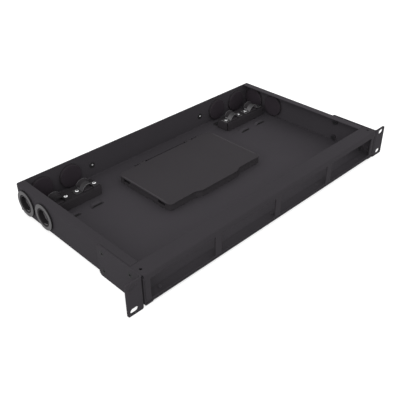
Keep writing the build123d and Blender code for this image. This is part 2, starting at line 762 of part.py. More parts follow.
def rear_washers():
    """A washer under each rear screw head."""
    bore = m5 / 2 + hole_fit
    points = [(bore, 0), (rear_washer_d / 2, 0), (rear_washer_d / 2, rear_washer_height)]
    points += [(bore, rear_washer_height)]
    seat = rear_y - sheet
    return [along_y(side * rear_screw_x, seat, port_z) * Rot(180, 0, 0) * turned(points) for side in (-1, 1)]


def rear_nuts():
    """The nuts of the rear screws, outside the wall."""
    nut = hex_nut(rear_nut_flats, rear_nut_height, m5)
    return [along_y(side * rear_screw_x, rear_y, port_z) * nut for side in (-1, 1)]


def collect():
    """Every sub-part by name."""
    wall = side_wall()
    ear = rack_ear()
    screws = ear_screws()
    nuts = ear_nuts()
    bracket = clamp_bracket()
    rivets = bracket_rivets()
    fixing = clamp_screws()
    under = clamp_nuts()
    strap = saddle()
    pin = hinge_pin()
    comb = splice_comb()
    drum = fibre_drum()
    parts = {
        "chassis_pan": chassis_pan(),
        "side_wall_right": wall,
        "side_wall_left": mirrored(wall),
        "front_panel": front_panel(),
        "panel_rivets": Compound(children=panel_rivets()),
        "cover_nuts": Compound(children=cover_nuts()),
        "rack_ear_right": ear,
        "rack_ear_left": mirrored(ear),
        "ear_screws_right": Compound(children=screws),
        "ear_screws_left": Compound(children=[mirrored(screw) for screw in screws]),
        "ear_nuts_right": Compound(children=nuts),
        "ear_nuts_left": Compound(children=[mirrored(nut) for nut in nuts]),
        "clamp_bracket_right": bracket,
        "clamp_bracket_left": mirrored(bracket),
        "bracket_rivets_right": Compound(children=rivets),
        "bracket_rivets_left": Compound(children=[mirrored(piece) for piece in rivets]),
        "clamp_screws_right": Compound(children=fixing),
        "clamp_screws_left": Compound(children=[mirrored(screw) for screw in fixing]),
        "clamp_nuts_right": Compound(children=under),
        "clamp_nuts_left": Compound(children=[mirrored(nut) for nut in under]),
        "splice_tray_base": splice_tray_base(),
        "splice_tray_lid": splice_tray_lid(),
        "tray_hinge_pin_right": pin,
        "tray_hinge_pin_left": mirrored(pin),
        "tray_studs": Compound(children=tray_studs()),
        "tray_nuts": Compound(children=tray_nuts()),
        "rear_screws": Compound(children=rear_screws()),
        "rear_washers": Compound(children=rear_washers()),
        "rear_nuts": Compound(children=rear_nuts()),
    }
    for name, place in port_places().items():
        parts["port_ring_" + name] = place * port_ring()
        inside = place * Pos(0, 0, -sheet)
        parts["port_cap_" + name] = inside * port_cap()
    for name, x in zip(("inner", "outer"), clamp_x):
        parts["clamp_saddle_right_" + name] = Pos(x, saddle_y, bracket_top_z) * strap
        parts["clamp_saddle_left_" + name] = Pos(-x, saddle_y, bracket_top_z) * strap
    comb_y = (comb_width + comb_gap) / 2
    parts["splice_comb_front"] = Pos(0, tray_mid_y - comb_y, tray_floor_z) * comb
    parts["splice_comb_rear"] = Pos(0, tray_mid_y + comb_y, tray_floor_z) * comb
    parts["fibre_drum_right"] = Pos(drum_x, tray_mid_y, tray_floor_z) * drum
    parts["fibre_drum_left"] = Pos(-drum_x, tray_mid_y, tray_floor_z) * drum
    return parts


os.makedirs("parts", exist_ok=True)
for node, shape in collect().items():
    export_step(shape, "parts/" + node + ".step")
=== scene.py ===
# %% [markdown]
# A fibre distribution panel, one rack unit high, stands open and is seen from its left front corner. Its
# sheets, screws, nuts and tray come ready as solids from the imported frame, in metres and already in place.
# They could be modelled again here, but then each size would be written twice, so this lesson dresses them.
# It adds a camera, finishes and light, and works out anew only the few small pressed, turned and moulded
# pieces whose solids are too plain for a near look.

# %% Load the frame
import json

import bmesh
import bpy
import numpy as np
from mathutils import Matrix, Vector


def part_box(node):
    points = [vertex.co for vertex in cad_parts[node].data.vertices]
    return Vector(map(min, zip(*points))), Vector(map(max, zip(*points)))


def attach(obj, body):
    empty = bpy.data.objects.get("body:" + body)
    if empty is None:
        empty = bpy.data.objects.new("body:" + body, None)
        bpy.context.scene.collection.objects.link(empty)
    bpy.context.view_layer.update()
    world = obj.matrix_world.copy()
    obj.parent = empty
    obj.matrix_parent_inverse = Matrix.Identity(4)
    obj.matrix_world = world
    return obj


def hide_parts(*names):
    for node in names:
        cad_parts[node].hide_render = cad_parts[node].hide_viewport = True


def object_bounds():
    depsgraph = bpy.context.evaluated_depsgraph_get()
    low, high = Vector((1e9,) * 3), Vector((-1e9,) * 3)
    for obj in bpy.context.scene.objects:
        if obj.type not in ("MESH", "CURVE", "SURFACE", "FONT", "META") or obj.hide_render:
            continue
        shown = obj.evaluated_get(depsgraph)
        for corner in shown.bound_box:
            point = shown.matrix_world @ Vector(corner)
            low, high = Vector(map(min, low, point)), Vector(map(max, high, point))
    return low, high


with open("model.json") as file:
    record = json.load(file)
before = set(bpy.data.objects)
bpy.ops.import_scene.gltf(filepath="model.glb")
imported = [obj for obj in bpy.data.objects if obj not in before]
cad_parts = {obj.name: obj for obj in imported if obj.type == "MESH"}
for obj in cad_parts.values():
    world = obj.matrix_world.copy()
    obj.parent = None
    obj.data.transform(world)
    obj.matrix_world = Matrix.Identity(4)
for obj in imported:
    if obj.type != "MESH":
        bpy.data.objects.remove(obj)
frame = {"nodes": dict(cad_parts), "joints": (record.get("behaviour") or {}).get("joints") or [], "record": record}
cad_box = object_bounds()
nodes = frame["nodes"]
MM = 0.001
print("nodes", len(nodes), "box", cad_box)

# %% [markdown]
# The camera stands where the photographer stood. It could be set by eye, but then the edges never quite
# fall where they should. A rack panel offers a better way: its ears and their slots have standard sizes,
# so the place, the directions and the lens can be solved from where those points appear. The three
# directions are the picture's right, up and back, as unit vectors in the part's own frame.

# %% Camera
IMAGE_WIDTH = 400
FOCAL_PIXELS = 595.25
SENSOR_WIDTH = 36.0
NEAREST_SEEN = 0.01
camera_place = Vector((-492.07, -369.49, 428.72)) * MM
camera_right = Vector((0.71302, -0.70106, -0.01056))
camera_up = Vector((0.40437, 0.39887, 0.82303))
camera_back = -Vector((0.57279, 0.59110, -0.56789))

camera_data = bpy.data.cameras.new("camera")
camera_data.sensor_width = SENSOR_WIDTH
camera_data.sensor_fit = "HORIZONTAL"
camera_data.lens = FOCAL_PIXELS / IMAGE_WIDTH * SENSOR_WIDTH
camera_data.clip_start = NEAREST_SEEN
camera = bpy.data.objects.new("camera", camera_data)
camera_turn = Matrix((camera_right, camera_up, camera_back)).transposed()
camera.matrix_world = Matrix.Translation(camera_place) @ camera_turn.to_4x4()
bpy.context.scene.collection.objects.link(camera)
bpy.context.scene.camera = camera
bpy.context.scene.view_settings.view_transform = "Standard"
print("lens", round(camera_data.lens, 2))

# %% [markdown]
# Most surfaces of the panel share one of two effects, so each effect is a node group that is built once
# and placed in every finish with its own numbers. The nodes could be laid out again in each material, but
# then a better grain would have to be drawn into every one of them. A group puts out only a colour, a
# roughness and a normal. The shader that they feed stays in the material itself.


# %% Empty group
def new_group(name, inputs, outputs):
    """An empty shader group with named sockets: inputs give label, kind and value, outputs label and kind."""
    group = bpy.data.node_groups.new(name, "ShaderNodeTree")
    for label, kind, value in inputs:
        socket = group.interface.new_socket(name=label, in_out="INPUT", socket_type=kind)
        socket.default_value = value
    for label, kind in outputs:
        group.interface.new_socket(name=label, in_out="OUTPUT", socket_type=kind)
    return group, group.nodes.new("NodeGroupInput"), group.nodes.new("NodeGroupOutput")


# %% Noise and arithmetic
NOISE_MIDDLE = 0.5


def feed(tree, socket, value):
    """Sets a socket to a number, or links it to the socket that the value comes from."""
    if isinstance(value, (int, float)):
        socket.default_value = value
    else:
        tree.links.new(value, socket)


def noise(tree, scale, detail, roughness=0.5):
    """A noise on the piece's own coordinates, so that it stays put on a moving lid. The scale is in
    features per metre."""
    place = tree.nodes.new("ShaderNodeTexCoord")
    texture = tree.nodes.new("ShaderNodeTexNoise")
    feed(tree, texture.inputs["Scale"], scale)
    texture.inputs["Detail"].default_value = detail
    texture.inputs["Roughness"].default_value = roughness
    tree.links.new(place.outputs["Object"], texture.inputs["Vector"])
    return texture.outputs["Fac"]


def math_step(tree, operation, first, second):
    """One step of arithmetic on two values, each of which is a link or a number."""
    node = tree.nodes.new("ShaderNodeMath")
    node.operation = operation
    feed(tree, node.inputs[0], first)
    feed(tree, node.inputs[1], second)
    return node.outputs[0]


def swing_of(tree, texture, size):
    """A noise's distance from its middle value, times a size."""
    swing = math_step(tree, "SUBTRACT", texture, NOISE_MIDDLE)
    return math_step(tree, "MULTIPLY", swing, size)


# %% [markdown]
# Both effects end alike. The colour is scaled by a gain. The normal is first softened, as if every edge
# were rounded, and is then roughened by the slopes of a fine noise. Real bevels on every fold would cost
# many faces, and relief this fine would cost more, so a Bevel node and a Bump node stand for them.

# %% Ends of a skin
SKIN_OUTPUTS = [("Colour", "NodeSocketColor"), ("Roughness", "NodeSocketFloat"),
                ("Normal", "NodeSocketVector")]
EDGE_SAMPLES = 6
print("a skin gives", [label for label, kind in SKIN_OUTPUTS])


def scaled_colour(tree, colour, gain):
    """A colour times a gain."""
    scaled = tree.nodes.new("ShaderNodeVectorMath")
    scaled.operation = "SCALE"
    tree.links.new(colour, scaled.inputs[0])
    tree.links.new(gain, scaled.inputs["Scale"])
    return scaled.outputs[0]


def soft_normal(tree, radius):
    """The normal as it would be with every edge rounded to a radius."""
    softened = tree.nodes.new("ShaderNodeBevel")
    softened.samples = EDGE_SAMPLES
    feed(tree, softened.inputs["Radius"], radius)
    return softened.outputs["Normal"]


def rough_normal(tree, normal, texture, strength, height):
    """A normal tilted by the slopes of a texture that stands up to a height in metres."""
    bump = tree.nodes.new("ShaderNodeBump")
    bump.inputs["Distance"].default_value = height
    feed(tree, bump.inputs["Strength"], strength)
    tree.links.new(texture, bump.inputs["Height"])
    tree.links.new(normal, bump.inputs["Normal"])
    return bump.outputs["Normal"]


def give(tree, end, colour, roughness, normal):
    """Links the three results of a skin to its group's outputs."""
    tree.links.new(colour, end.inputs["Colour"])
    tree.links.new(roughness, end.inputs["Roughness"])
    tree.links.new(normal, end.inputs["Normal"])


# %% [markdown]
# Powder coat is a plastic powder baked onto the steel. It leaves a fine pebbled skin and thins a little on every
# edge. Its edges are painted paler, partly for that thinner coat and partly as a painted highlight, and what lies
# face up can be painted darker, as a painted shade. Moulded plastic and rubber look much the same, with another
# grain. A picture of such a skin would show a seam somewhere and blur near the lens, so a fine noise makes the
# pebbles and a broad one the slow change of tone. The edge is found by asking how far the softened normal leans
# from the true one.


# %% Edges and tops
# Paler edges: partly a thinner coat on the edge and partly a painted highlight. Where the gain is large, as on the
# lid and the hidden saddle solids, it is mostly painted highlight.
def edge_wear_and_highlight(tree, normal, size):
    """One less the cosine between a softened normal and the true one, times a size."""
    geometry = tree.nodes.new("ShaderNodeNewGeometry")
    facing = tree.nodes.new("ShaderNodeVectorMath")
    facing.operation = "DOT_PRODUCT"
    tree.links.new(normal, facing.inputs[0])
    tree.links.new(geometry.outputs["True Normal"], facing.inputs[1])
    wear = math_step(tree, "SUBTRACT", 1.0, facing.outputs["Value"])
    return math_step(tree, "MULTIPLY", wear, size)


# Painted shade: a face that looks up loses a share of its colour.
def painted_top_shade(tree, size):
    """How far the face looks up, times a size: the height of the true normal, and nothing below zero."""
    geometry = tree.nodes.new("ShaderNodeNewGeometry")
    upright = tree.nodes.new("ShaderNodeSeparateXYZ")
    tree.links.new(geometry.outputs["True Normal"], upright.inputs[0])
    lying = math_step(tree, "MAXIMUM", upright.outputs["Z"], 0.0)
    return math_step(tree, "MULTIPLY", lying, size)


# %% Pebbled skin sizes
BROAD_SCALE = 18.0
BROAD_DETAIL = 3.0
FINE_SCALE = 900.0
FINE_DETAIL = 2.0
FINE_ROUGHNESS = 0.6
ROUGH_SHARE = 0.5
PEBBLE_HEIGHT = 0.05 * MM


# %% Pebbled skin group
def pebbled_skin_group():
    """The colour's gain is one, plus both noises times Lift, plus the edge gain, which is partly a thinner coat on
    the edges and partly a painted highlight, less a painted shade on faces that look up. The roughness shifts by a
    share of what the noises shift the colour."""
    inputs = [("Colour", "NodeSocketColor", (0.05, 0.05, 0.05, 1)), ("Lift", "NodeSocketFloat", 0.2),
              ("Roughness", "NodeSocketFloat", 0.5), ("Grain", "NodeSocketFloat", FINE_SCALE),
              ("Depth", "NodeSocketFloat", 0.2), ("Edge", "NodeSocketFloat", 0.15),
              ("Top", "NodeSocketFloat", 0.0), ("Rounding", "NodeSocketFloat", 0.5 * MM)]
    group, start, end = new_group("pebbled_skin", inputs, SKIN_OUTPUTS)
    given = start.outputs
    broad = noise(group, BROAD_SCALE, BROAD_DETAIL)
    fine = noise(group, given["Grain"], FINE_DETAIL, FINE_ROUGHNESS)
    softened = soft_normal(group, given["Rounding"])
    broad_shift = swing_of(group, broad, given["Lift"])
    fine_shift = swing_of(group, fine, given["Lift"])
    shift = math_step(group, "ADD", broad_shift, fine_shift)
    gain = math_step(group, "ADD", shift, 1.0)
    gain = math_step(group, "ADD", gain, edge_wear_and_highlight(group, softened, given["Edge"]))
    gain = math_step(group, "SUBTRACT", gain, painted_top_shade(group, given["Top"]))
    rough = math_step(group, "MULTIPLY", shift, ROUGH_SHARE)
    rough = math_step(group, "ADD", given["Roughness"], rough)
    pebbled = rough_normal(group, softened, fine, given["Depth"], PEBBLE_HEIGHT)
    give(group, end, scaled_colour(group, given["Colour"], gain), rough, pebbled)
    return group


pebbled_skin = pebbled_skin_group()
print(pebbled_skin.name, len(pebbled_skin.nodes), "nodes")

# %% [markdown]
# The clamp screws, the rear screws, the tray's studs and hinge pins and most of the nuts are zinc plated.
# New zinc mirrors the room, and fingers and drivers leave smudges and hair lines on it. A plain metal
# shader would look like a drop of mercury, so a smudge noise changes both the tint and the roughness, and
# a very fine one scratches the normal.

# %% Plated metal sizes
SMUDGE_SCALE = 260.0
SMUDGE_DETAIL = 4.0
HAIR_SCALE = 2500.0
HAIR_DETAIL = 2.0
HAIR_STRENGTH = 0.15
HAIR_HEIGHT = 0.02 * MM
PLATED_EDGE = 0.25 * MM


# %% Plated metal group
def plated_metal_group():
    """The colour's gain is one plus the smudge noise times Smudge, and the roughness takes the same shift."""
    inputs = [("Colour", "NodeSocketColor", (0.6, 0.6, 0.6, 1)), ("Roughness", "NodeSocketFloat", 0.25),
              ("Smudge", "NodeSocketFloat", 0.2)]
    group, start, end = new_group("plated_metal", inputs, SKIN_OUTPUTS)
    given = start.outputs
    smudge = noise(group, SMUDGE_SCALE, SMUDGE_DETAIL)
    hair = noise(group, HAIR_SCALE, HAIR_DETAIL)
    shift = swing_of(group, smudge, given["Smudge"])
    gain = math_step(group, "ADD", shift, 1.0)
    rough = math_step(group, "ADD", given["Roughness"], shift)
    softened = soft_normal(group, PLATED_EDGE)
    scratched = rough_normal(group, softened, hair, HAIR_STRENGTH, HAIR_HEIGHT)
    give(group, end, scaled_colour(group, given["Colour"], gain), rough, scratched)
    return group


plated_metal = plated_metal_group()
print(plated_metal.name, len(plated_metal.nodes), "nodes")

# %% [markdown]
# A finish is a material with one group and one shader. Dull skins are no metal and have a low gloss, and
# plated steel is metal. Both kinds could be one function with many numbers, but two short ones read like
# the two trades that make them: the coater and the plater.

# %% Material makers
PLATED_SPECULAR = 0.5


def material_from(group, name, specular, metallic, values):
    """A Principled material whose colour, roughness and normal come from a group."""
    material = bpy.data.materials.new(name)
    material.use_nodes = True
    tree = material.node_tree
    shader = tree.nodes["Principled BSDF"]
    effect = tree.nodes.new("ShaderNodeGroup")
    effect.node_tree = group
    for label, value in values.items():
        effect.inputs[label].default_value = value
    tree.links.new(effect.outputs["Colour"], shader.inputs["Base Color"])
    tree.links.new(effect.outputs["Roughness"], shader.inputs["Roughness"])
    tree.links.new(effect.outputs["Normal"], shader.inputs["Normal"])
    shader.inputs["Specular IOR Level"].default_value = specular
    shader.inputs["Metallic"].default_value = metallic
    return material


def coat(name, colour, roughness, grain, depth, lift=0.12, edge=0.2, top=0.0, specular=0.02, rounding=0.5):
    """A pebbled coat or moulded skin. Grain is its pebbles per metre and depth their strength, lift the swing of
    its tone, edge the gain along its edges, partly a thinner coat and partly a painted highlight, top the share of
    colour lost where it lies face up, which is a painted shade, and rounding the size of its soft edges in
    millimetres."""
    values = {"Colour": (*colour, 1), "Lift": lift, "Roughness": roughness, "Grain": grain,
              "Depth": depth, "Edge": edge, "Top": top, "Rounding": rounding * MM}
    return material_from(pebbled_skin, name, specular, 0.0, values)


def plate(name, colour, roughness, smudge):
    """Plated steel. Smudge is the swing of its tone and its roughness."""
    values = {"Colour": (*colour, 1), "Roughness": roughness, "Smudge": smudge}
    return material_from(plated_metal, name, PLATED_SPECULAR, 1.0, values)


# %% [markdown]
# Each slot of the record gets its finish. The whole panel is black, yet no two of its blacks are the same: powder
# is a warm grey where light falls on it, the brackets are painted and darker, the tray is moulded, and the caps
# are rubber with a hint of red. The tones are written as they should show under plain light, except where painted
# light or shade is added, as said where it is set. One black for all would melt the pieces into each other.

# %% Grains of the skins
POWDER_GRAIN = 1100.0
TRAY_GRAIN = 1500.0
STEEL_GRAIN = 1500.0
MOULD_GRAIN = 700.0
RUBBER_GRAIN = 500.0
FIXING_GRAIN = 900.0

# %% Slot finishes
POWDER = (0.044, 0.0405, 0.0455)
POWDER_ROUGHNESS = 0.6
POWDER_DEPTH = 0.3
finishes = {
    "powder_black": coat("powder_black", POWDER, POWDER_ROUGHNESS, POWDER_GRAIN, POWDER_DEPTH),
    # Painted shade: the brackets' faces that look up are painted darker (top=0.5).
    "bracket_black": coat("bracket_black", (0.037, 0.0335, 0.037), 0.5, POWDER_GRAIN, 0.25,
                          edge=0.0, top=0.5),
    "ring_grey": coat("ring_grey", (0.115, 0.112, 0.115), 0.45, MOULD_GRAIN, 0.15, lift=0.1),
    "cap_rubber": coat("cap_rubber", (0.033, 0.0275, 0.033), 0.4, RUBBER_GRAIN, 0.1,
                       lift=0.04, edge=0.0, specular=0.05),
    # The base's tone is painted a little lighter than the lid's: painted light on its sides, which stand in shade.
    "tray_plastic": coat("tray_plastic", (0.0435, 0.04, 0.0438), 0.5, TRAY_GRAIN, 0.3),
    "tray_insert": coat("tray_insert", (0.045, 0.045, 0.048), 0.45, FIXING_GRAIN, 0.2),
    "washer_black": coat("washer_black", (0.026, 0.025, 0.026), 0.6, FIXING_GRAIN, 0.2),
    "black_fixing": coat("black_fixing", (0.020, 0.020, 0.021), 0.45, STEEL_GRAIN, 0.15, specular=0.05),
    # The hidden saddle solids get a painted shade on top (top=0.5) and a painted highlight on their edges
    # (edge=1.0).
    "saddle_steel": coat("saddle_steel", (0.038, 0.036, 0.039), 0.3, STEEL_GRAIN, 0.1,
                         edge=1.0, top=0.5, specular=0.12),
    "bright_zinc": plate("bright_zinc", (0.85, 0.85, 0.86), 0.16, 0.1),
    "zinc_steel": plate("zinc_steel", (0.5, 0.5, 0.51), 0.3, 0.25),
}
print("slot finishes", len(finishes))

# %% [markdown]
# The folded parts are coated with their rivets and nuts in place, and each takes a gain on the powder's colour,
# from four fifths of it to a little more than it. These gains are painted light and shade: the left wall, the
# front panel, the ears and the ear nuts are painted darker, and the floor and the right wall, which stands in poor
# light, are painted lighter, so that each keeps the tone that it has beside its neighbours.

# %% Powder gains, painted light and shade
PAINTED_TONE_GAINS = {"chassis_pan": 1.07, "front_panel": 0.88, "rack_ear_left": 0.93, "rack_ear_right": 0.93,
           "side_wall_left": 0.86, "side_wall_right": 1.06, "ear_nuts_left": 0.8, "ear_nuts_right": 0.8}
for name, gain in PAINTED_TONE_GAINS.items():
    painted_powder = tuple(gain * value for value in POWDER)
    finishes[name] = coat("powder_" + name, painted_powder, POWDER_ROUGHNESS, POWDER_GRAIN, POWDER_DEPTH)
print("painted_tone_gains", len(PAINTED_TONE_GAINS))

# %% [markdown]
# The splice tray is moulded in two parts. Its lid is painted a tone darker than its base, as painted shade on the
# lid, which lies face up, and the base is painted a tone lighter, as painted light on its sides, which stand in
# shade. The lid's softly rounded edges get a strong edge gain, a painted highlight, so they look paler. The nuts
# under the front flange are zinc, but they sit in the dark behind a small hole, so they get a shadow's tone and
# the hole reads as a hole.

# %% Lid and nut finishes
finishes["splice_tray_lid"] = coat("lid_plastic", (0.0382, 0.0351, 0.0385), 0.5, TRAY_GRAIN, 0.3,
                                   edge=2.0, rounding=1.2)
finishes["cover_nuts"] = coat("nut_shadow", (0.012, 0.011, 0.012), 0.6, FIXING_GRAIN, 0.1, edge=0.0)
print("lid and nuts", finishes["splice_tray_lid"].name, finishes["cover_nuts"].name)

# %% [markdown]
# The small pieces that are worked out below have more than one surface each: a bush has a light face and a dark
# side, a cap has a skin, a liner and a rib, and a saddle has a bright flare, a rim and an inside. A mask could
# pick them out in one material, but where each surface is a strip of faces, it is simpler to give each strip a
# finish of its own. Several of these finishes are painted light and shade. The cap's skin is painted lighter
# against the shade of its bore, its liner darker, and its rib pale as a painted highlight. The saddles' rims are a
# painted highlight, the roots of their flares a painted shade, and their insides are painted lighter against the
# shade under the arch. These skins have little relief and no worn edge.


# %% Skins of the small pieces
def small_skin(name, colour, roughness, grain, depth=0.1, **more):
    """A coat with little relief and no worn edge, kept under its own name."""
    finishes[name] = coat(name, colour, roughness, grain, depth, edge=0.0, **more)


# Near black, darker than any other black here: a painted shade of the hinge joint, on the seal and the spacer
# rings.
small_skin("joint_painted_shade", (0.008, 0.0075, 0.008), 0.6, FIXING_GRAIN)
# A little paler than the lid: a painted highlight along the lid's side edges.
small_skin("bead_painted_highlight", (0.055, 0.051, 0.0552), 0.5, TRAY_GRAIN, depth=0.2)
small_skin("ring_side", (0.018, 0.017, 0.018), 0.5, MOULD_GRAIN)
# One rubber, painted in several tones: the side is a touch lighter as painted light and darker where it looks up
# as painted shade, the skin is painted lighter against the bore's shade, and the liner is painted darker as
# painted shade.
small_skin("cap_side", (0.036, 0.032, 0.036), 0.5, RUBBER_GRAIN, lift=0.04, top=0.3)
small_skin("cap_liner_painted_shade", (0.02, 0.0185, 0.02), 0.5, RUBBER_GRAIN)
small_skin("cap_skin_painted_light", (0.11, 0.103, 0.11), 0.5, RUBBER_GRAIN)
# Pale: a painted highlight low in the bore.
small_skin("rib_painted_highlight", (0.16, 0.155, 0.16), 0.4, MOULD_GRAIN)
# Saddle tones are painted light and shade: the shaded strap is painted darker, the right straps lighter than the
# left, all darker where they look up, the rims pale as a painted highlight, the roots dark as a painted shade, and
# the insides lighter against the shade under the arch.
small_skin("saddle_shaded", (0.034, 0.031, 0.034), 0.4, STEEL_GRAIN, top=0.5)
small_skin("saddle_left", (0.092, 0.088, 0.093), 0.3, STEEL_GRAIN, top=0.65)
small_skin("saddle_right", (0.19, 0.185, 0.192), 0.3, STEEL_GRAIN, top=0.8)
small_skin("saddle_rim_highlight", (0.16, 0.156, 0.162), 0.3, STEEL_GRAIN)
small_skin("saddle_root_shade", (0.024, 0.022, 0.024), 0.4, STEEL_GRAIN)
small_skin("saddle_inside_painted_light", (0.17, 0.156, 0.17), 0.4, STEEL_GRAIN)
small_skin("pad_rubber", (0.055, 0.050, 0.055), 0.5, MOULD_GRAIN)
finishes["screw_glint"] = plate("screw_glint", (0.45, 0.45, 0.46), 0.2, 0.1)
print("finishes", len(finishes))

# %% [markdown]
# Every solid keeps its own shape. It takes the finish that bears its own name where there is one, and
# otherwise the finish of its slot in the record, so a solid without a special tone needs no line here.

# %% Dress the solids
slot_of = {entry["node"]: entry["material_slot"] for entry in frame["record"]["subparts"]}
for name, node in nodes.items():
    node.data.materials.clear()
    node.data.materials.append(finishes.get(name) or finishes[slot_of[name]])
print("dressed", len(nodes))

# %% [markdown]
# The port bushes and caps are turned, the cable saddles are pressed strap, and the seal and the beads are
# moulded cords. Each of them could be cut from a box or a cylinder with modifiers, but their sections are
# known, so a surface can be worked out straight away. It is a grid of points. Its columns run round and
# join up, and its rows either join up too, as on a ring, or close on a middle point at each end.


# %% Closed surfaces
def closed_surface(points, bands, ring=False):
    """Vertices, four-cornered faces, three-cornered faces and the finish numbers of both. points is an
    array of rows by columns by 3. A four-cornered face joins a row to the next one, and a fan of
    three-cornered faces joins the first and the last row to the mean of its points. bands gives the
    finish number of the strip that ends at each row, or of each face of that strip."""
    rows, columns = points.shape[:2]
    index = np.arange(rows * columns).reshape(rows, columns)
    above = np.roll(index, -1, axis=0)
    bands = np.asarray(bands)
    if bands.ndim == 1:
        bands = np.repeat(bands[:, None], columns, axis=1)
    marks = np.roll(bands, -1, axis=0)
    verts = points.reshape(-1, 3)
    fans = np.zeros((0, 3), dtype=int)
    fan_marks = np.zeros(0, dtype=int)
    if not ring:
        index, above, marks = index[:-1], above[:-1], marks[:-1]
        verts = np.vstack([verts, points[0].mean(axis=0), points[-1].mean(axis=0)])
        low = np.arange(columns)
        high = low + (rows - 1) * columns
        low_fan = np.stack([np.roll(low, -1), low, np.full(columns, rows * columns)], axis=-1)
        high_fan = np.stack([high, np.roll(high, -1), np.full(columns, rows * columns + 1)], axis=-1)
        fans = np.vstack([low_fan, high_fan])
        fan_marks = np.concatenate([bands[0], bands[-1]])
    quads = np.stack([index, np.roll(index, -1, 1), np.roll(above, -1, 1), above], axis=-1).reshape(-1, 4)
    return verts, quads, fans, marks.reshape(-1), fan_marks


# %% [markdown]
# A piece is one mesh of one or more such surfaces. It gets its finishes, its normals are turned outwards,
# and creases sharper than a set angle stay crisp while the rest is shaded smooth. It rides on a body of
# the frame, so it moves with the lid or stays with the chassis, and the solids that it stands for are
# hidden. Its points are already in place, so its object stays at the origin.

# %% One piece from its surfaces
SHARP_ANGLE = np.radians(35)


def make_piece(name, surfaces, finish_names, stands_for, body="chassis"):
    """A piece of one or more closed surfaces that rides on a body in place of its solids."""
    verts, faces, marks = [], [], []
    first = 0
    for surface_verts, quads, fans, quad_marks, fan_marks in surfaces:
        verts.append(surface_verts)
        faces += (quads + first).tolist() + (fans + first).tolist()
        marks += [quad_marks, fan_marks]
        first += len(surface_verts)
    mesh = bpy.data.meshes.new(name)
    mesh.from_pydata(np.vstack(verts).tolist(), [], faces)
    for finish in finish_names:
        mesh.materials.append(finishes[finish])
    mesh.polygons.foreach_set("material_index", np.concatenate(marks).astype(np.int32))
    mesh.polygons.foreach_set("use_smooth", np.ones(len(faces), dtype=bool))
    shell = bmesh.new()
    shell.from_mesh(mesh)
    bmesh.ops.recalc_face_normals(shell, faces=shell.faces)
    shell.to_mesh(mesh)
    shell.free()
    mesh.set_sharp_from_angle(angle=SHARP_ANGLE)
    piece = bpy.data.objects.new(name, mesh)
    bpy.context.scene.collection.objects.link(piece)
    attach(piece, body)
    if stands_for:
        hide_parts(*stands_for)
    return piece


# %% [markdown]
# Bushes, caps, screws and spacer rings are round about an axis. Each is turned from a profile, as on a
# lathe. Blender's Screw modifier does this too, but a function keeps the profile's points in millimetres
# beside the sizes that they come from. Round corners are short arcs of profile points.

# %% Turning
ROUND_COLUMNS = 96


def turned(profile, bands, place, axis, columns=ROUND_COLUMNS, ring=False):
    """A surface of revolution: each profile point of radius and height becomes a circle of that
    radius, at that height along the axis from the place."""
    radius, height = np.array(profile).T
    along = np.array(Vector(axis).normalized())
    side = np.cross(along, (0.0, 0.0, 1.0))
    side = side / np.linalg.norm(side)
    other = np.cross(along, side)
    angle = np.linspace(0, 2 * np.pi, columns, endpoint=False)
    spoke = np.cos(angle)[:, None] * side + np.sin(angle)[:, None] * other
    points = np.array(place) + radius[:, None, None] * spoke + height[:, None, None] * along
    return closed_surface(points, bands, ring)


def corner_arc(centre, radius, start, end, steps):
    """Profile points of a round corner: the centre plus the radius at even angles from one to another."""
    angle = np.radians(np.linspace(start, end, steps + 1))
    return np.stack([centre[0] + radius * np.cos(angle), centre[1] + radius * np.sin(angle)], 1).tolist()


# %% [markdown]
# Each of the eight cable ports is a light bush with a dark side, and a black cap behind it. The cap's
# liner runs out through the bush, and a thin skin closes it until a cable is pulled in. All eight are
# alike, so their sizes are read once, from the right front port's solids, as heights above the wall.

# %% Port sizes
ring_low, ring_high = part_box("port_ring_right_front")
cap_low, cap_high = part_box("port_cap_right_front")
ports = [mount for mount in frame["record"]["mounts"] if mount["name"].startswith("port_")]
wall_face = max(mount["pos_m"][0] for mount in ports)
RING_RADIUS = (ring_high[1] - ring_low[1]) / 2
RING_FACE = ring_high[0] - wall_face
RING_TAIL = ring_low[0] - wall_face
CAP_RADIUS = (cap_high[1] - cap_low[1]) / 2
CAP_BACK = cap_low[0] - wall_face
CAP_TIP = cap_high[0] - wall_face
LINER_BORE = ports[0]["dims"]["r_mm"] * MM
BUSH_BORE = 12.0 * MM
FACE_INNER = 12.6 * MM
TAIL_RADIUS = 14.05 * MM
WALL_SHEET = 1.2 * MM
EDGE_ROUND = 0.25 * MM
EDGE_STEPS = 4
CAP_ROUND = 1.2 * MM
CAP_STEPS = 6
print("ring", round(RING_RADIUS / MM, 2), "cap", round(CAP_RADIUS / MM, 2))

# %% [markdown]
# The bush is a moulded ring with a tail that fits the wall's hole. Seen from outside it is a flat light
# face with a fine round edge, and its mouth is chamfered so that a cable finds its way in. A ring cut
# from a tube would lack both, and it is these two that draw the bright line round the dark bore.

# %% Port bush
BUSH_FINISHES = ["ring_grey", "ring_side"]
LIGHT, DARK = range(len(BUSH_FINISHES))


def port_bush(place, axis):
    """Bore, chamfered mouth, flat face, round edge, side and tail, as a profile that joins up. The
    chamfer is as deep as it is wide."""
    chamfer = FACE_INNER - BUSH_BORE
    edge = corner_arc((RING_RADIUS - EDGE_ROUND, RING_FACE - EDGE_ROUND), EDGE_ROUND, 90, 0, EDGE_STEPS)
    mouth = [(BUSH_BORE, RING_TAIL), (BUSH_BORE, RING_FACE - chamfer), (FACE_INNER, RING_FACE)]
    side = [(RING_RADIUS, 0), (TAIL_RADIUS, 0), (TAIL_RADIUS, RING_TAIL)]
    bands = [DARK] * len(mouth) + [LIGHT] * len(edge) + [DARK] * len(side)
    return turned(mouth + edge + side, bands, place, axis, ring=True)


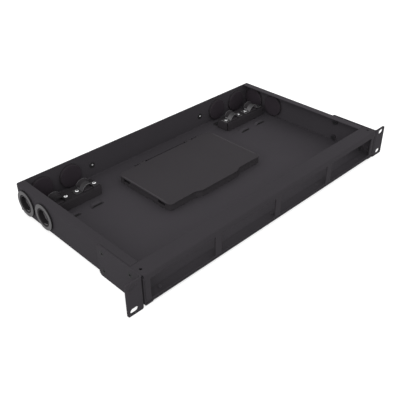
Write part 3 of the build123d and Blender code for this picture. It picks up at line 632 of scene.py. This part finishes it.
# %% [markdown]
# Just inside the mouth a short rib stands on the liner. It grips the cable's sheath, and it is painted pale, as a
# painted highlight low in the bore. It is too fine for the solid. A curve with a bevel could draw it, but then the
# cap would be two objects, so it is worked out as a small cord that follows an arc and thins at both ends.

# %% Cap finishes and rib sizes
CAP_FINISHES = ["cap_skin_painted_light", "cap_liner_painted_shade", "cap_rubber", "rib_painted_highlight", "cap_side"]
SKIN_BAND, LINER_BAND, BACK_BAND, RIB_BAND, SIDE_BAND = range(len(CAP_FINISHES))
RIB = 0.45 * MM
RIB_DEPTH = 1.2 * MM
RIB_ROWS = 15
RIB_COLUMNS = 12
RIB_SUNK = 0.4
RIB_END = 0.25
RIB_SWEEP = np.radians(np.linspace(-8, 52, RIB_ROWS))
RIB_TAPER = np.sin(np.linspace(RIB_END, np.pi - RIB_END, RIB_ROWS)) ** 0.5


# %% Rib in the port's mouth
def mouth_rib(place, axis):
    """A round section carried along an arc low in the bore. Its middle's distance from the port's axis is
    the liner's bore less a share of the rib, and its size falls at the ends as the root of a sine."""
    along = np.array(Vector(axis).normalized())
    down = np.array((0.0, 0.0, -1.0))
    rear_wall = abs(axis[1]) > abs(axis[0])
    front = np.array((-1.0, 0.0, 0.0)) if rear_wall else np.array((0.0, -1.0, 0.0))
    taper = RIB_TAPER * RIB
    turn = np.linspace(0, 2 * np.pi, RIB_COLUMNS, endpoint=False)
    reach = LINER_BORE - RIB_SUNK * RIB + taper[:, None] * np.cos(turn)
    height = RING_FACE - RIB_DEPTH + taper[:, None] * np.sin(turn)
    spoke = np.cos(RIB_SWEEP)[:, None] * down + np.sin(RIB_SWEEP)[:, None] * front
    points = np.array(place) + reach[..., None] * spoke[:, None, :] + height[..., None] * along
    return closed_surface(points, [RIB_BAND] * len(RIB_SWEEP))


# %% [markdown]
# The cap is a rubber plug. From outside one sees its domed skin and the liner, and from inside the panel
# a flat dark disc with a round edge. All of it is round about one axis, so one profile draws it in one
# go, from the middle of the skin over the liner and the collar to the middle of the back.

# %% Cap sizes
SKIN_DOME = 0.4 * MM
SKIN_RINGS = np.array((0.12, 0.4, 0.7, 0.92, 1.0))
LINER_GAP = 0.05 * MM
BACK_RINGS = (0.6, 0.2)


# %% Port cap
def port_cap(place, axis):
    """A shallow domed skin, the liner round it, and a flat disc with a round edge inside the wall. The
    skin rises towards its middle by one less the square of its share of the bore."""
    skin = np.stack([SKIN_RINGS * LINER_BORE, RING_TAIL + SKIN_DOME * (1 - SKIN_RINGS ** 2)], 1).tolist()
    liner_out = BUSH_BORE - LINER_GAP
    liner = [(LINER_BORE, CAP_TIP - EDGE_ROUND), (LINER_BORE + EDGE_ROUND, CAP_TIP),
             (BUSH_BORE - EDGE_ROUND, CAP_TIP), (liner_out, CAP_TIP - EDGE_ROUND),
             (liner_out, RING_TAIL - LINER_GAP)]
    collar = [(TAIL_RADIUS, RING_TAIL - LINER_GAP), (TAIL_RADIUS, -WALL_SHEET), (CAP_RADIUS, -WALL_SHEET)]
    rim = corner_arc((CAP_RADIUS - CAP_ROUND, CAP_BACK + CAP_ROUND), CAP_ROUND, 0, -90, CAP_STEPS)
    back = [(CAP_RADIUS * share, CAP_BACK) for share in BACK_RINGS]
    bands = [SKIN_BAND] * len(skin) + [LINER_BAND] * len(liner)
    bands += [SIDE_BAND] * (len(collar) + len(rim) - 2) + [BACK_BAND] * (2 + len(back))
    return turned(skin + liner + collar + rim + back, bands, place, axis)


# %% Fit the ports
for mount in ports:
    tag = mount["name"][len("port_"):]
    place, axis = mount["pos_m"], mount["axis"]
    bush = [port_bush(place, axis)]
    make_piece("bush_" + tag, bush, BUSH_FINISHES, ["port_ring_" + tag])
    cap = [port_cap(place, axis), mouth_rib(place, axis)]
    make_piece("cap_" + tag, cap, CAP_FINISHES, ["port_cap_" + tag])
print("ports", len(ports))

# %% [markdown]
# A cable saddle is one pressed strap: two flat feet and an arch that holds the cable down. Its rear edge flares
# outwards as a lead-in for the cable, and the flare's rim is painted pale, as a painted highlight. A torus cut in
# half would have no feet and no flare. So the strap's middle line is worked out as straight feet, two small
# creases and a big arc, and the section is carried along it.

# %% Saddle sizes
saddle_low, saddle_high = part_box("clamp_saddle_right_inner")
SADDLE_FOOT = (saddle_high[0] - saddle_low[0]) / 2
SADDLE_HALF = (saddle_high[1] - saddle_low[1]) / 2
SADDLE_TOP = saddle_high[2] - saddle_low[2]
FOOT_ROWS, CREASE_ROWS, ARCH_ROWS, SECTION_COLUMNS = 6, 7, 41, 40
STRAP = 0.8 * MM
STRAP_POWER = 0.3
CREASE = 1.4 * MM
FLARE = 1.9 * MM
FLARE_START = 0.15
REAR_REACH = 1.4 * MM
FRONT_REACH = 0.7 * MM
RAISED_FROM = 1.5 * STRAP
RAISED_OVER = 3 * MM
print("saddle", round(SADDLE_FOOT / MM, 2), round(SADDLE_TOP / MM, 2))


# %% Saddle's middle line
def saddle_line():
    """Points of the strap's middle line and their outward directions. The right half is a straight foot
    and a crease, whose circle touches both the foot and the arch, and the left half mirrors it. The
    crease's centre lies as far out as the root of the two radii's sum squared less its height squared."""
    arch_radius = SADDLE_TOP - STRAP / 2
    lift = STRAP / 2
    centre = np.sqrt((arch_radius + CREASE) ** 2 - (lift + CREASE) ** 2)
    lean = np.arctan2(lift + CREASE, centre)
    foot = np.linspace(SADDLE_FOOT, centre, FOOT_ROWS + 1)[:-1]
    crease = np.linspace(-np.pi / 2, -np.pi + lean, CREASE_ROWS + 1)[:-1]
    arch = np.linspace(lean, np.pi - lean, ARCH_ROWS)
    right_x = np.concatenate([foot, centre + CREASE * np.cos(crease)])
    right_z = np.concatenate([np.full(len(foot), lift), lift + CREASE + CREASE * np.sin(crease)])
    right_out_x = np.concatenate([np.zeros(len(foot)), -np.cos(crease)])
    right_out_z = np.concatenate([np.ones(len(foot)), -np.sin(crease)])
    line_x = np.concatenate([right_x, arch_radius * np.cos(arch), -right_x[::-1]])
    line_z = np.concatenate([right_z, arch_radius * np.sin(arch), right_z[::-1]])
    out_x = np.concatenate([right_out_x, np.cos(arch), -right_out_x[::-1]])
    out_z = np.concatenate([right_out_z, np.sin(arch), right_out_z[::-1]])
    return line_x, line_z, out_x, out_z


# %% [markdown]
# The strap shows five surfaces: its outer face, the rear rim, painted bright as a painted highlight, the root of
# the flare, painted dark as a painted shade, the inside of the arch, painted lighter against the shade under it,
# and the front rim, painted bright too. Which one a face belongs to follows from its row's height and from where
# its column stands in the section. The right straps' faces are painted lighter than the left ones'. The left outer
# strap, which stands in the wall's shade, gets a painted shade on its face and its front rim.

# %% Saddle bands
FACE_BAND, REAR_RIM_BAND, ROOT_BAND, INSIDE_BAND, PAD_BAND, FRONT_RIM_BAND = range(6)
ARCH_FROM = 0.4
RIM_FROM = 0.2
RIM_SIDE = 0.93


def saddle_bands(raised, angle):
    """The finish number of each face. A face is outer where the cosine at its middle is above zero, and
    at a rim where the sine there is near one or minus one."""
    middle = angle + np.pi / len(angle)
    side = np.sin(middle)[None, :]
    outer = np.cos(middle)[None, :] > 0
    arch = np.where(outer, np.where(side > FLARE_START, ROOT_BAND, FACE_BAND), INSIDE_BAND)
    bands = np.where(raised > ARCH_FROM, arch, FACE_BAND)
    bands = np.where((raised > RIM_FROM) & (side > RIM_SIDE), REAR_RIM_BAND, bands)
    return np.where((raised > RIM_FROM) & (side < -RIM_SIDE), FRONT_RIM_BAND, bands)


# %% Saddle surface
def saddle_surface(middle_x, middle_y, seat_z):
    """Rows follow the strap's middle line, columns run round its section. The section is a flat oval:
    across it goes as the sine of the column's angle, and its thickness as a high root of the cosine.
    The flare moves the arch outwards by the square of the distance past the flare's start. The flare
    and the arch's extra width grow with a smooth step from the foot up."""
    line_x, line_z, out_x, out_z = saddle_line()
    raised = np.clip((line_z - RAISED_FROM) / RAISED_OVER, 0, 1)
    raised = (raised ** 2 * (3 - 2 * raised))[:, None]
    angle = np.linspace(0, 2 * np.pi, SECTION_COLUMNS, endpoint=False)
    across = np.sin(angle)[None, :]
    thick = np.sign(np.cos(angle)) * np.abs(np.cos(angle)) ** STRAP_POWER * STRAP / 2
    flare = FLARE * raised * np.clip((across - FLARE_START) / (1 - FLARE_START), 0, 1) ** 2
    past = np.where(across > 0, REAR_REACH, FRONT_REACH) * raised
    offset = thick[None, :] + flare
    x = middle_x + line_x[:, None] + out_x[:, None] * offset
    y = middle_y + across * (SADDLE_HALF + past)
    z = seat_z + line_z[:, None] + out_z[:, None] * offset
    return closed_surface(np.stack([x, y, z], axis=-1), saddle_bands(raised, angle))


# %% [markdown]
# Under each arch lies a thin rubber pad that keeps the cable from slipping. It could be a cube with a
# Bevel modifier, but the round of its corners is far larger than its height, and a bevel that wide would
# fold over itself. So the pad is stacked up from four oblong rows with round corners.

# %% Pad sizes
PAD_HALF_X = 7.4 * MM
PAD_HALF_Y = 6.6 * MM
PAD_TALL = 0.35 * MM
PAD_POWER = 0.3
PAD_COLUMNS = 32
PAD_SCALES = np.array((1.0, 1.0, 0.97, 0.9))
PAD_HEIGHTS = np.array((0.0, 0.8, 1.0, 1.0))


# %% Saddle pad
def pad_surface(middle_x, middle_y, seat_z):
    """Each row is an oblong whose sides go as a high root of the cosine and the sine, scaled about its
    middle, from the seat up to the softened top edge."""
    scale = PAD_SCALES[:, None]
    angle = np.linspace(0, 2 * np.pi, PAD_COLUMNS, endpoint=False)[None, :]
    x = middle_x + scale * PAD_HALF_X * np.sign(np.cos(angle)) * np.abs(np.cos(angle)) ** PAD_POWER
    y = middle_y + scale * PAD_HALF_Y * np.sign(np.sin(angle)) * np.abs(np.sin(angle)) ** PAD_POWER
    z = seat_z + np.repeat(PAD_HEIGHTS[:, None] * PAD_TALL, PAD_COLUMNS, axis=1)
    return closed_surface(np.stack([x, y, z], axis=-1), [PAD_BAND] * len(PAD_SCALES))


# %% Press the saddles
saddle_names = [node for node in nodes if node.startswith("clamp_saddle_")]
for name in saddle_names:
    low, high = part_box(name)
    seat = ((low[0] + high[0]) / 2, (low[1] + high[1]) / 2, low[2])
    tag = name[len("clamp_saddle_"):]
    coats = ["saddle_" + tag.split("_")[0], "saddle_rim_highlight", "saddle_root_shade", "saddle_inside_painted_light", "pad_rubber",
             "saddle_rim_highlight"]
    # Painted shade on the left outer strap's face and front rim.
    if tag == "left_outer":
        coats[FACE_BAND] = coats[FRONT_RIM_BAND] = "saddle_shaded"
    make_piece("strap_" + tag, [saddle_surface(*seat), pad_surface(*seat)], coats, [name])
print("saddles", len(saddle_names))

# %% [markdown]
# The bright clamp screws have low flat heads with a hexagon socket, over a plain shank. A thread would be
# hidden in the bracket, so there is none. A boolean cut would make the socket too, but it leaves long thin
# faces round the hole. Here the last rows of the turned surface simply follow a hexagon.

# %% Clamp screw sizes
HEAD = 2.8 * MM
HEAD_TALL = 1.0 * MM
HEAD_ROUND = 0.3 * MM
HEAD_STEPS = 4
STEM = 1.5 * MM
TIP_CHAMFER = 0.3 * MM
SOCKET = 1.0 * MM
SOCKET_DEEP = 0.7 * MM
SCREW_SPREAD = 13.7 * MM
SCREW_COLUMNS = 48
# The socket takes the black fixing finish: a painted shade in the recess of the zinc head.
SCREW_FINISHES = ["bright_zinc", "black_fixing"]
METAL_BAND, SOCKET_BAND = range(len(SCREW_FINISHES))
print("screw head", round(2 * HEAD / MM, 1), "by", round(HEAD_TALL / MM, 1))


# %% Screw surface
def screw_surface(place_x, place_y, seat_z, tip_z):
    """Rows of a turned screw from its tip to the socket's floor. In the socket the radius follows a
    hexagon: the flat's distance over the cosine of the angle from the middle of the flat."""
    tip = tip_z - seat_z
    profile = [(STEM - TIP_CHAMFER, tip), (STEM, tip + TIP_CHAMFER), (STEM, 0), (HEAD, 0)]
    profile += corner_arc((HEAD - HEAD_ROUND, HEAD_TALL - HEAD_ROUND), HEAD_ROUND, 0, 90, HEAD_STEPS)
    socket = [(SOCKET, HEAD_TALL), (SOCKET, HEAD_TALL - SOCKET_DEEP)]
    radius, height = np.array(profile + socket).T
    angle = np.linspace(0, 2 * np.pi, SCREW_COLUMNS, endpoint=False)
    sixth = np.pi / 3
    hexagon = 1 / np.cos((angle + sixth / 2) % sixth - sixth / 2)
    shape = np.vstack([np.ones((len(profile), SCREW_COLUMNS)), np.tile(hexagon, (len(socket), 1))])
    reach = radius[:, None] * shape
    x = place_x + reach * np.cos(angle)
    y = place_y + reach * np.sin(angle)
    z = seat_z + np.repeat(height[:, None], SCREW_COLUMNS, axis=1)
    bands = [METAL_BAND] * (len(profile) + 1) + [SOCKET_BAND]
    return closed_surface(np.stack([x, y, z], axis=-1), bands)


# %% Drive the clamp screws
for side in ("left", "right"):
    low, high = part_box("clamp_screws_" + side)
    middle_y = (low[1] + high[1]) / 2
    surfaces = []
    for place in ("inner", "outer"):
        saddle_low, saddle_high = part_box("clamp_saddle_%s_%s" % (side, place))
        middle_x = (saddle_low[0] + saddle_high[0]) / 2
        for shift in (-SCREW_SPREAD, SCREW_SPREAD):
            surfaces.append(screw_surface(middle_x + shift, middle_y, saddle_low[2] + STRAP, low[2]))
    make_piece("bolts_" + side, surfaces, SCREW_FINISHES, ["clamp_screws_" + side])
    print("clamp screws", side, len(surfaces), "at y", round(middle_y / MM, 1))

# %% [markdown]
# The rear wall carries one small domed screw on each side, over a black washer. In the picture it is a
# spark of light in a dark ring, and both come from the shape: the dome mirrors the bright room, and the
# matt washer frames it. Washer, head and shank are one turned profile, because nothing shows between them.

# %% Rear screw sizes
washer_low, washer_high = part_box("rear_washers")
screw_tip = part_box("rear_screws")[1][1]
WASHER = 4.3 * MM
WASHER_TALL = 0.8 * MM
WASHER_CHAMFER = 0.1 * MM
DOME = 1.7 * MM
DOME_TALL = 1.3 * MM
DOME_ANGLES = np.radians(np.linspace(0, 80, 7))
DOMED_FINISHES = ["washer_black", "screw_glint"]
WASHER_BAND, DOME_BAND = range(len(DOMED_FINISHES))
SHANK = 2.4 * MM
SHANK_TIP = washer_high[1] - screw_tip
REAR_SPREAD = washer_high[0] - (washer_high[2] - washer_low[2]) / 2
print("rear screws", round(REAR_SPREAD / MM, 1))


# %% Domed screw
def domed_screw(place):
    """Shank, washer and domed head, turned about the line that runs forward from the wall. The dome is a
    quarter of an oval: its radius goes as the cosine of an angle and its height as the sine."""
    dome = np.stack([DOME * np.cos(DOME_ANGLES), WASHER_TALL + DOME_TALL * np.sin(DOME_ANGLES)], 1).tolist()
    shank = [(SHANK, SHANK_TIP), (SHANK, 0)]
    washer = [(WASHER, 0), (WASHER, WASHER_TALL - WASHER_CHAMFER),
              (WASHER - WASHER_CHAMFER, WASHER_TALL), (DOME, WASHER_TALL)]
    bands = [WASHER_BAND] * (len(shank) + len(washer)) + [DOME_BAND] * (len(dome) - 1)
    return turned(shank + washer + dome[1:], bands, place, (0, -1, 0), columns=SCREW_COLUMNS)


# %% Drive the rear screws
washer_z = (washer_low[2] + washer_high[2]) / 2
surfaces = [domed_screw((side * REAR_SPREAD, washer_high[1], washer_z)) for side in (-1, 1)]
make_piece("wall_screws", surfaces, DOMED_FINISHES, ["rear_screws", "rear_washers"])
print("domed screws", len(surfaces))

# %% [markdown]
# The tray's lid turns on two hinges at its rear edge. A seal fills the joint along that edge, in three lengths
# beside the hinges, with a small knob at each end where the cord is cut. Its near-black tone is a painted shade of
# the joint. A dark line in the lid's material could stand for it, but it would be flat once the lid is open and
# seen from behind. So the seal is a thin cord that rides on the lid. Its rows are spaced by a cosine, which puts
# more of them at the ends, where its size changes.

# %% Hinge sizes
hinge = frame["joints"][0]
HINGE_Y, HINGE_Z = hinge["pos_m"][1], hinge["pos_m"][2]
LID_REAR = HINGE_Y - 1.8 * MM
LID_TOP = HINGE_Z + 2.2 * MM
SEAL = 0.55 * MM
SEAL_SPANS = ((-58.0, -52.2), (-39.0, 39.0), (52.2, 61.0))
SEAL_Y = LID_REAR + 0.5 * SEAL
SEAL_Z = LID_TOP - 0.4 * SEAL
END_KNOB = 0.7 * MM
KNOB_PLACE = 0.25
KNOB_WIDTH = 0.1
CORD_COLUMNS = 16
CORD_START = 0.05
CORD_CLOSING = 6
SEAL_ROWS = 49
print("lid's rear edge", round(LID_REAR / MM, 2), "top", round(LID_TOP / MM, 2))


# %% Rows along a cord
def cord_rows(low, high, count):
    """Places along a straight cord, and the sine of each row's angle. The angle runs from just past zero
    to just short of half a turn, and the place goes as its cosine."""
    angle = np.linspace(CORD_START, np.pi - CORD_START, count)
    return (low + high) / 2 - (high - low) / 2 * np.cos(angle), np.sin(angle)


def closing(sine):
    """One along the cord, and falling to nearly nothing at its ends, so that it closes without a step."""
    return np.clip(sine * CORD_CLOSING, 0, 1)


# %% Seal surface
def seal_surface(low_x, high_x):
    """A round cord carried straight along X. A bell curve of the row's sine adds a knob beside each end."""
    x, sine = cord_rows(low_x, high_x, SEAL_ROWS)
    knob = END_KNOB * np.exp(-((sine - KNOB_PLACE) / KNOB_WIDTH) ** 2)
    reach = (SEAL * closing(sine) + knob)[:, None]
    angle = np.linspace(0, 2 * np.pi, CORD_COLUMNS, endpoint=False)
    y = SEAL_Y + reach * np.cos(angle)
    z = SEAL_Z + reach * np.sin(angle)
    x = np.repeat(x[:, None], CORD_COLUMNS, axis=1)
    return closed_surface(np.stack([x, y, z], axis=-1), [0] * len(sine))


# %% Lay the seals
seals = [seal_surface(low * MM, high * MM) for low, high in SEAL_SPANS]
make_piece("lid_seal", seals, ["joint_painted_shade"], [], "tray_lid")
print("seals", len(seals))

# %% [markdown]
# A thin spacer ring sits at each side of each hinge knuckle and keeps it from rubbing on its lugs. Its near-black
# tone is a painted shade of the joint. The ring stays with the tray, and being round about the hinge's own line it
# looks the same however far the lid is open. It is the simplest turned piece: a disc with softened edges.

# %% Spacer rings
KNUCKLE_X = 45.5 * MM
KNUCKLE_HALF = 3.35 * MM
SPACER = 2.5 * MM
SPACER_HALF = 0.14 * MM
SPACER_COLUMNS = 32
SPACER_PROFILE = [(SPACER - SPACER_HALF, -SPACER_HALF), (SPACER, -SPACER_HALF / 2),
                  (SPACER, SPACER_HALF / 2), (SPACER - SPACER_HALF, SPACER_HALF)]
rings = []
for knuckle in (-KNUCKLE_X, KNUCKLE_X):
    for shift in (-KNUCKLE_HALF, KNUCKLE_HALF):
        ring_place = (knuckle + shift, HINGE_Y, HINGE_Z)
        ring_bands = [0] * len(SPACER_PROFILE)
        rings.append(turned(SPACER_PROFILE, ring_bands, ring_place, (1, 0, 0), columns=SPACER_COLUMNS))
make_piece("hinge_spacers", rings, ["joint_painted_shade"], [])
print("rings", len(rings))

# %% [markdown]
# The lid has a low rounded bead along each of its short sides, which stiffens the thin plate. It is painted a
# little paler than the lid, as a painted highlight along the lid's side edges. A bevel on the plate would not lift
# it above the face, so the bead is a surface of its own: an oval cord, sunk to its middle, along the edge.

# %% Bead sizes
lid_low, lid_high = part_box("splice_tray_lid")
LID_SLOPE = 15.0 * MM
LID_SLOPE_DROP = 0.9 * MM
LID_BULGE = 4.5 * MM
BEAD_HALF = 1.0 * MM
BEAD_TALL = 0.25 * MM
BEAD_INSET = 1.8 * MM
BEAD_END = 7.0 * MM
BEAD_ROWS = 41
BEAD_X = lid_high[0] - BEAD_INSET
BEAD_FRONT = lid_low[1] + LID_BULGE + BEAD_END
BEAD_REAR = LID_REAR - BEAD_END


# %% Bead surface
def bead_surface(middle_x):
    """An oval section carried along Y. It sinks with the lid's corner slopes, by the share of the slope's
    length that the row has still to go."""
    y, sine = cord_rows(BEAD_FRONT, BEAD_REAR, BEAD_ROWS)
    from_corner = np.minimum(y - BEAD_FRONT, BEAD_REAR - y) + BEAD_END
    sunk = LID_SLOPE_DROP * np.clip(1 - from_corner / LID_SLOPE, 0, 1)
    angle = np.linspace(0, 2 * np.pi, CORD_COLUMNS, endpoint=False)
    x = middle_x + BEAD_HALF * closing(sine)[:, None] * np.cos(angle)
    z = LID_TOP - sunk[:, None] + BEAD_TALL * closing(sine)[:, None] * np.sin(angle)
    y = np.repeat(y[:, None], CORD_COLUMNS, axis=1)
    return closed_surface(np.stack([x, y, z], axis=-1), [0] * len(sine))


# %% Lay the beads
beads = [bead_surface(side * BEAD_X) for side in (-1, 1)]
make_piece("lid_beads", beads, ["bead_painted_highlight"], [], "tray_lid")
print("beads", len(beads), "length", round((BEAD_REAR - BEAD_FRONT) / MM, 1))

# %% [markdown]
# The panel lies on white paper, which carries a soft shadow. A strong lamp would make the paper white, and would
# also wash out every black on the panel. So the paper adds a little light of its own, which only the camera and
# mirror-like metal see, and the shadow stays. Close under the panel that light fades out to a faint painted glow,
# and the paper's own tone fades to black, a painted shadow, so that the slots in its floor show dark grey.

# %% Paper values
BODY_LOW, BODY_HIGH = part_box("chassis_pan")
FLOOR_REACH = 6.0
FLOOR_GLOW = 0.6
UNDER_PANEL_PAINTED_GLOW = 0.015
PAPER_TONE = 0.6
PAPER_ROUGHNESS = 0.9
FADE_REACH = 0.012
print("shaded from", round(BODY_LOW[0] / MM, 1), "to", round(BODY_HIGH[0] / MM, 1))


# %% Open floor group
def open_floor_group():
    """A mask that is 1 on the open floor and falls to 0 within Reach under the panel: one plus the
    distance past the body's edge over Reach, held between 0 and 1."""
    group, start, end = new_group("open_floor", [("Reach", "NodeSocketFloat", FADE_REACH)],
                                  [("Mask", "NodeSocketFloat")])
    place = group.nodes.new("ShaderNodeTexCoord")
    split = group.nodes.new("ShaderNodeSeparateXYZ")
    group.links.new(place.outputs["Object"], split.inputs[0])
    distances = []
    for axis, low, high in zip("XY", BODY_LOW, BODY_HIGH):
        away = math_step(group, "SUBTRACT", split.outputs[axis], (low + high) / 2)
        away = math_step(group, "ABSOLUTE", away, 0.0)
        distances.append(math_step(group, "SUBTRACT", away, (high - low) / 2))
    outside = math_step(group, "MAXIMUM", *distances)
    share = math_step(group, "ADD", math_step(group, "DIVIDE", outside, start.outputs["Reach"]), 1.0)
    share = math_step(group, "MINIMUM", math_step(group, "MAXIMUM", share, 0.0), 1.0)
    group.links.new(share, end.inputs["Mask"])
    return group


# %% Paper material
paper = bpy.data.materials.new("paper")
paper.use_nodes = True
sheet = paper.node_tree
paper_shader = sheet.nodes["Principled BSDF"]
paper_shader.inputs["Roughness"].default_value = PAPER_ROUGHNESS
paper_shader.inputs["Specular IOR Level"].default_value = 0.0
paper_shader.inputs["Emission Color"].default_value = (1, 1, 1, 1)
ray = sheet.nodes.new("ShaderNodeLightPath")
open_floor = sheet.nodes.new("ShaderNodeGroup")
open_floor.node_tree = open_floor_group()
seen = math_step(sheet, "MAXIMUM", ray.outputs["Is Camera Ray"], ray.outputs["Is Glossy Ray"])
glow = math_step(sheet, "MULTIPLY", open_floor.outputs["Mask"], FLOOR_GLOW)
# Under the panel only a faint painted glow is left, seen through the slots in its floor.
glow = math_step(sheet, "MULTIPLY", math_step(sheet, "ADD", glow, UNDER_PANEL_PAINTED_GLOW), seen)
# The paper's tone falls to black under the panel: a painted shadow.
tone = math_step(sheet, "MULTIPLY", open_floor.outputs["Mask"], PAPER_TONE)
sheet.links.new(tone, paper_shader.inputs["Base Color"])
sheet.links.new(glow, paper_shader.inputs["Emission Strength"])
print("paper", len(sheet.nodes), "nodes")

# %% Lay the paper
floor_z = cad_box[0][2]
floor_mesh = bpy.data.meshes.new("floor")
corners = [(x * FLOOR_REACH, y * FLOOR_REACH, floor_z) for x, y in ((-1, -1), (1, -1), (1, 1), (-1, 1))]
floor_mesh.from_pydata(corners, [], [(0, 1, 2, 3)])
floor_mesh.materials.append(paper)
floor = bpy.data.objects.new("floor", floor_mesh)
bpy.context.scene.collection.objects.link(floor)
print("floor at", round(floor_z / MM, 2))

# %% [markdown]
# Light is a pale surround with two large soft lamps, as in a studio with white walls. One hard lamp would
# throw the wall's shadow across the whole floor of the panel. Neither lamp here is strong, so a colour
# shows about as it is written. The key lamp stands at the left front and shapes the folds, and the other
# one lifts the outer face of the left wall.

# %% Surround
world = bpy.data.worlds.new("surround")
bpy.context.scene.world = world
world.use_nodes = True
sky = world.node_tree.nodes["Background"]
sky.inputs["Color"].default_value = (1, 1, 1, 1)
sky.inputs["Strength"].default_value = 1.0
print("surround", sky.inputs["Strength"].default_value)


# %% Soft lamp
LAMP_SIZE = 1.8
PANEL_MIDDLE = (0.0, 0.12, 0.0)


def soft_lamp(name, place, power):
    """A square area lamp at a place in metres, aimed at the panel's middle."""
    data = bpy.data.lights.new(name, "AREA")
    data.shape = "SQUARE"
    data.size = LAMP_SIZE
    data.energy = power
    lamp = bpy.data.objects.new(name, data)
    aim = (Vector(PANEL_MIDDLE) - Vector(place)).to_track_quat("-Z", "Y")
    lamp.matrix_world = Matrix.Translation(Vector(place)) @ aim.to_matrix().to_4x4()
    bpy.context.scene.collection.objects.link(lamp)


# %% Hang the lamps
LAMPS = {"key_lamp": ((-2.3, -2.3, 2.3), 36.0), "left_lamp": ((-3.7, 0.2, 1.4), 19.0)}
for name, (place, power) in LAMPS.items():
    soft_lamp(name, place, power)
print("lamps", len(LAMPS))
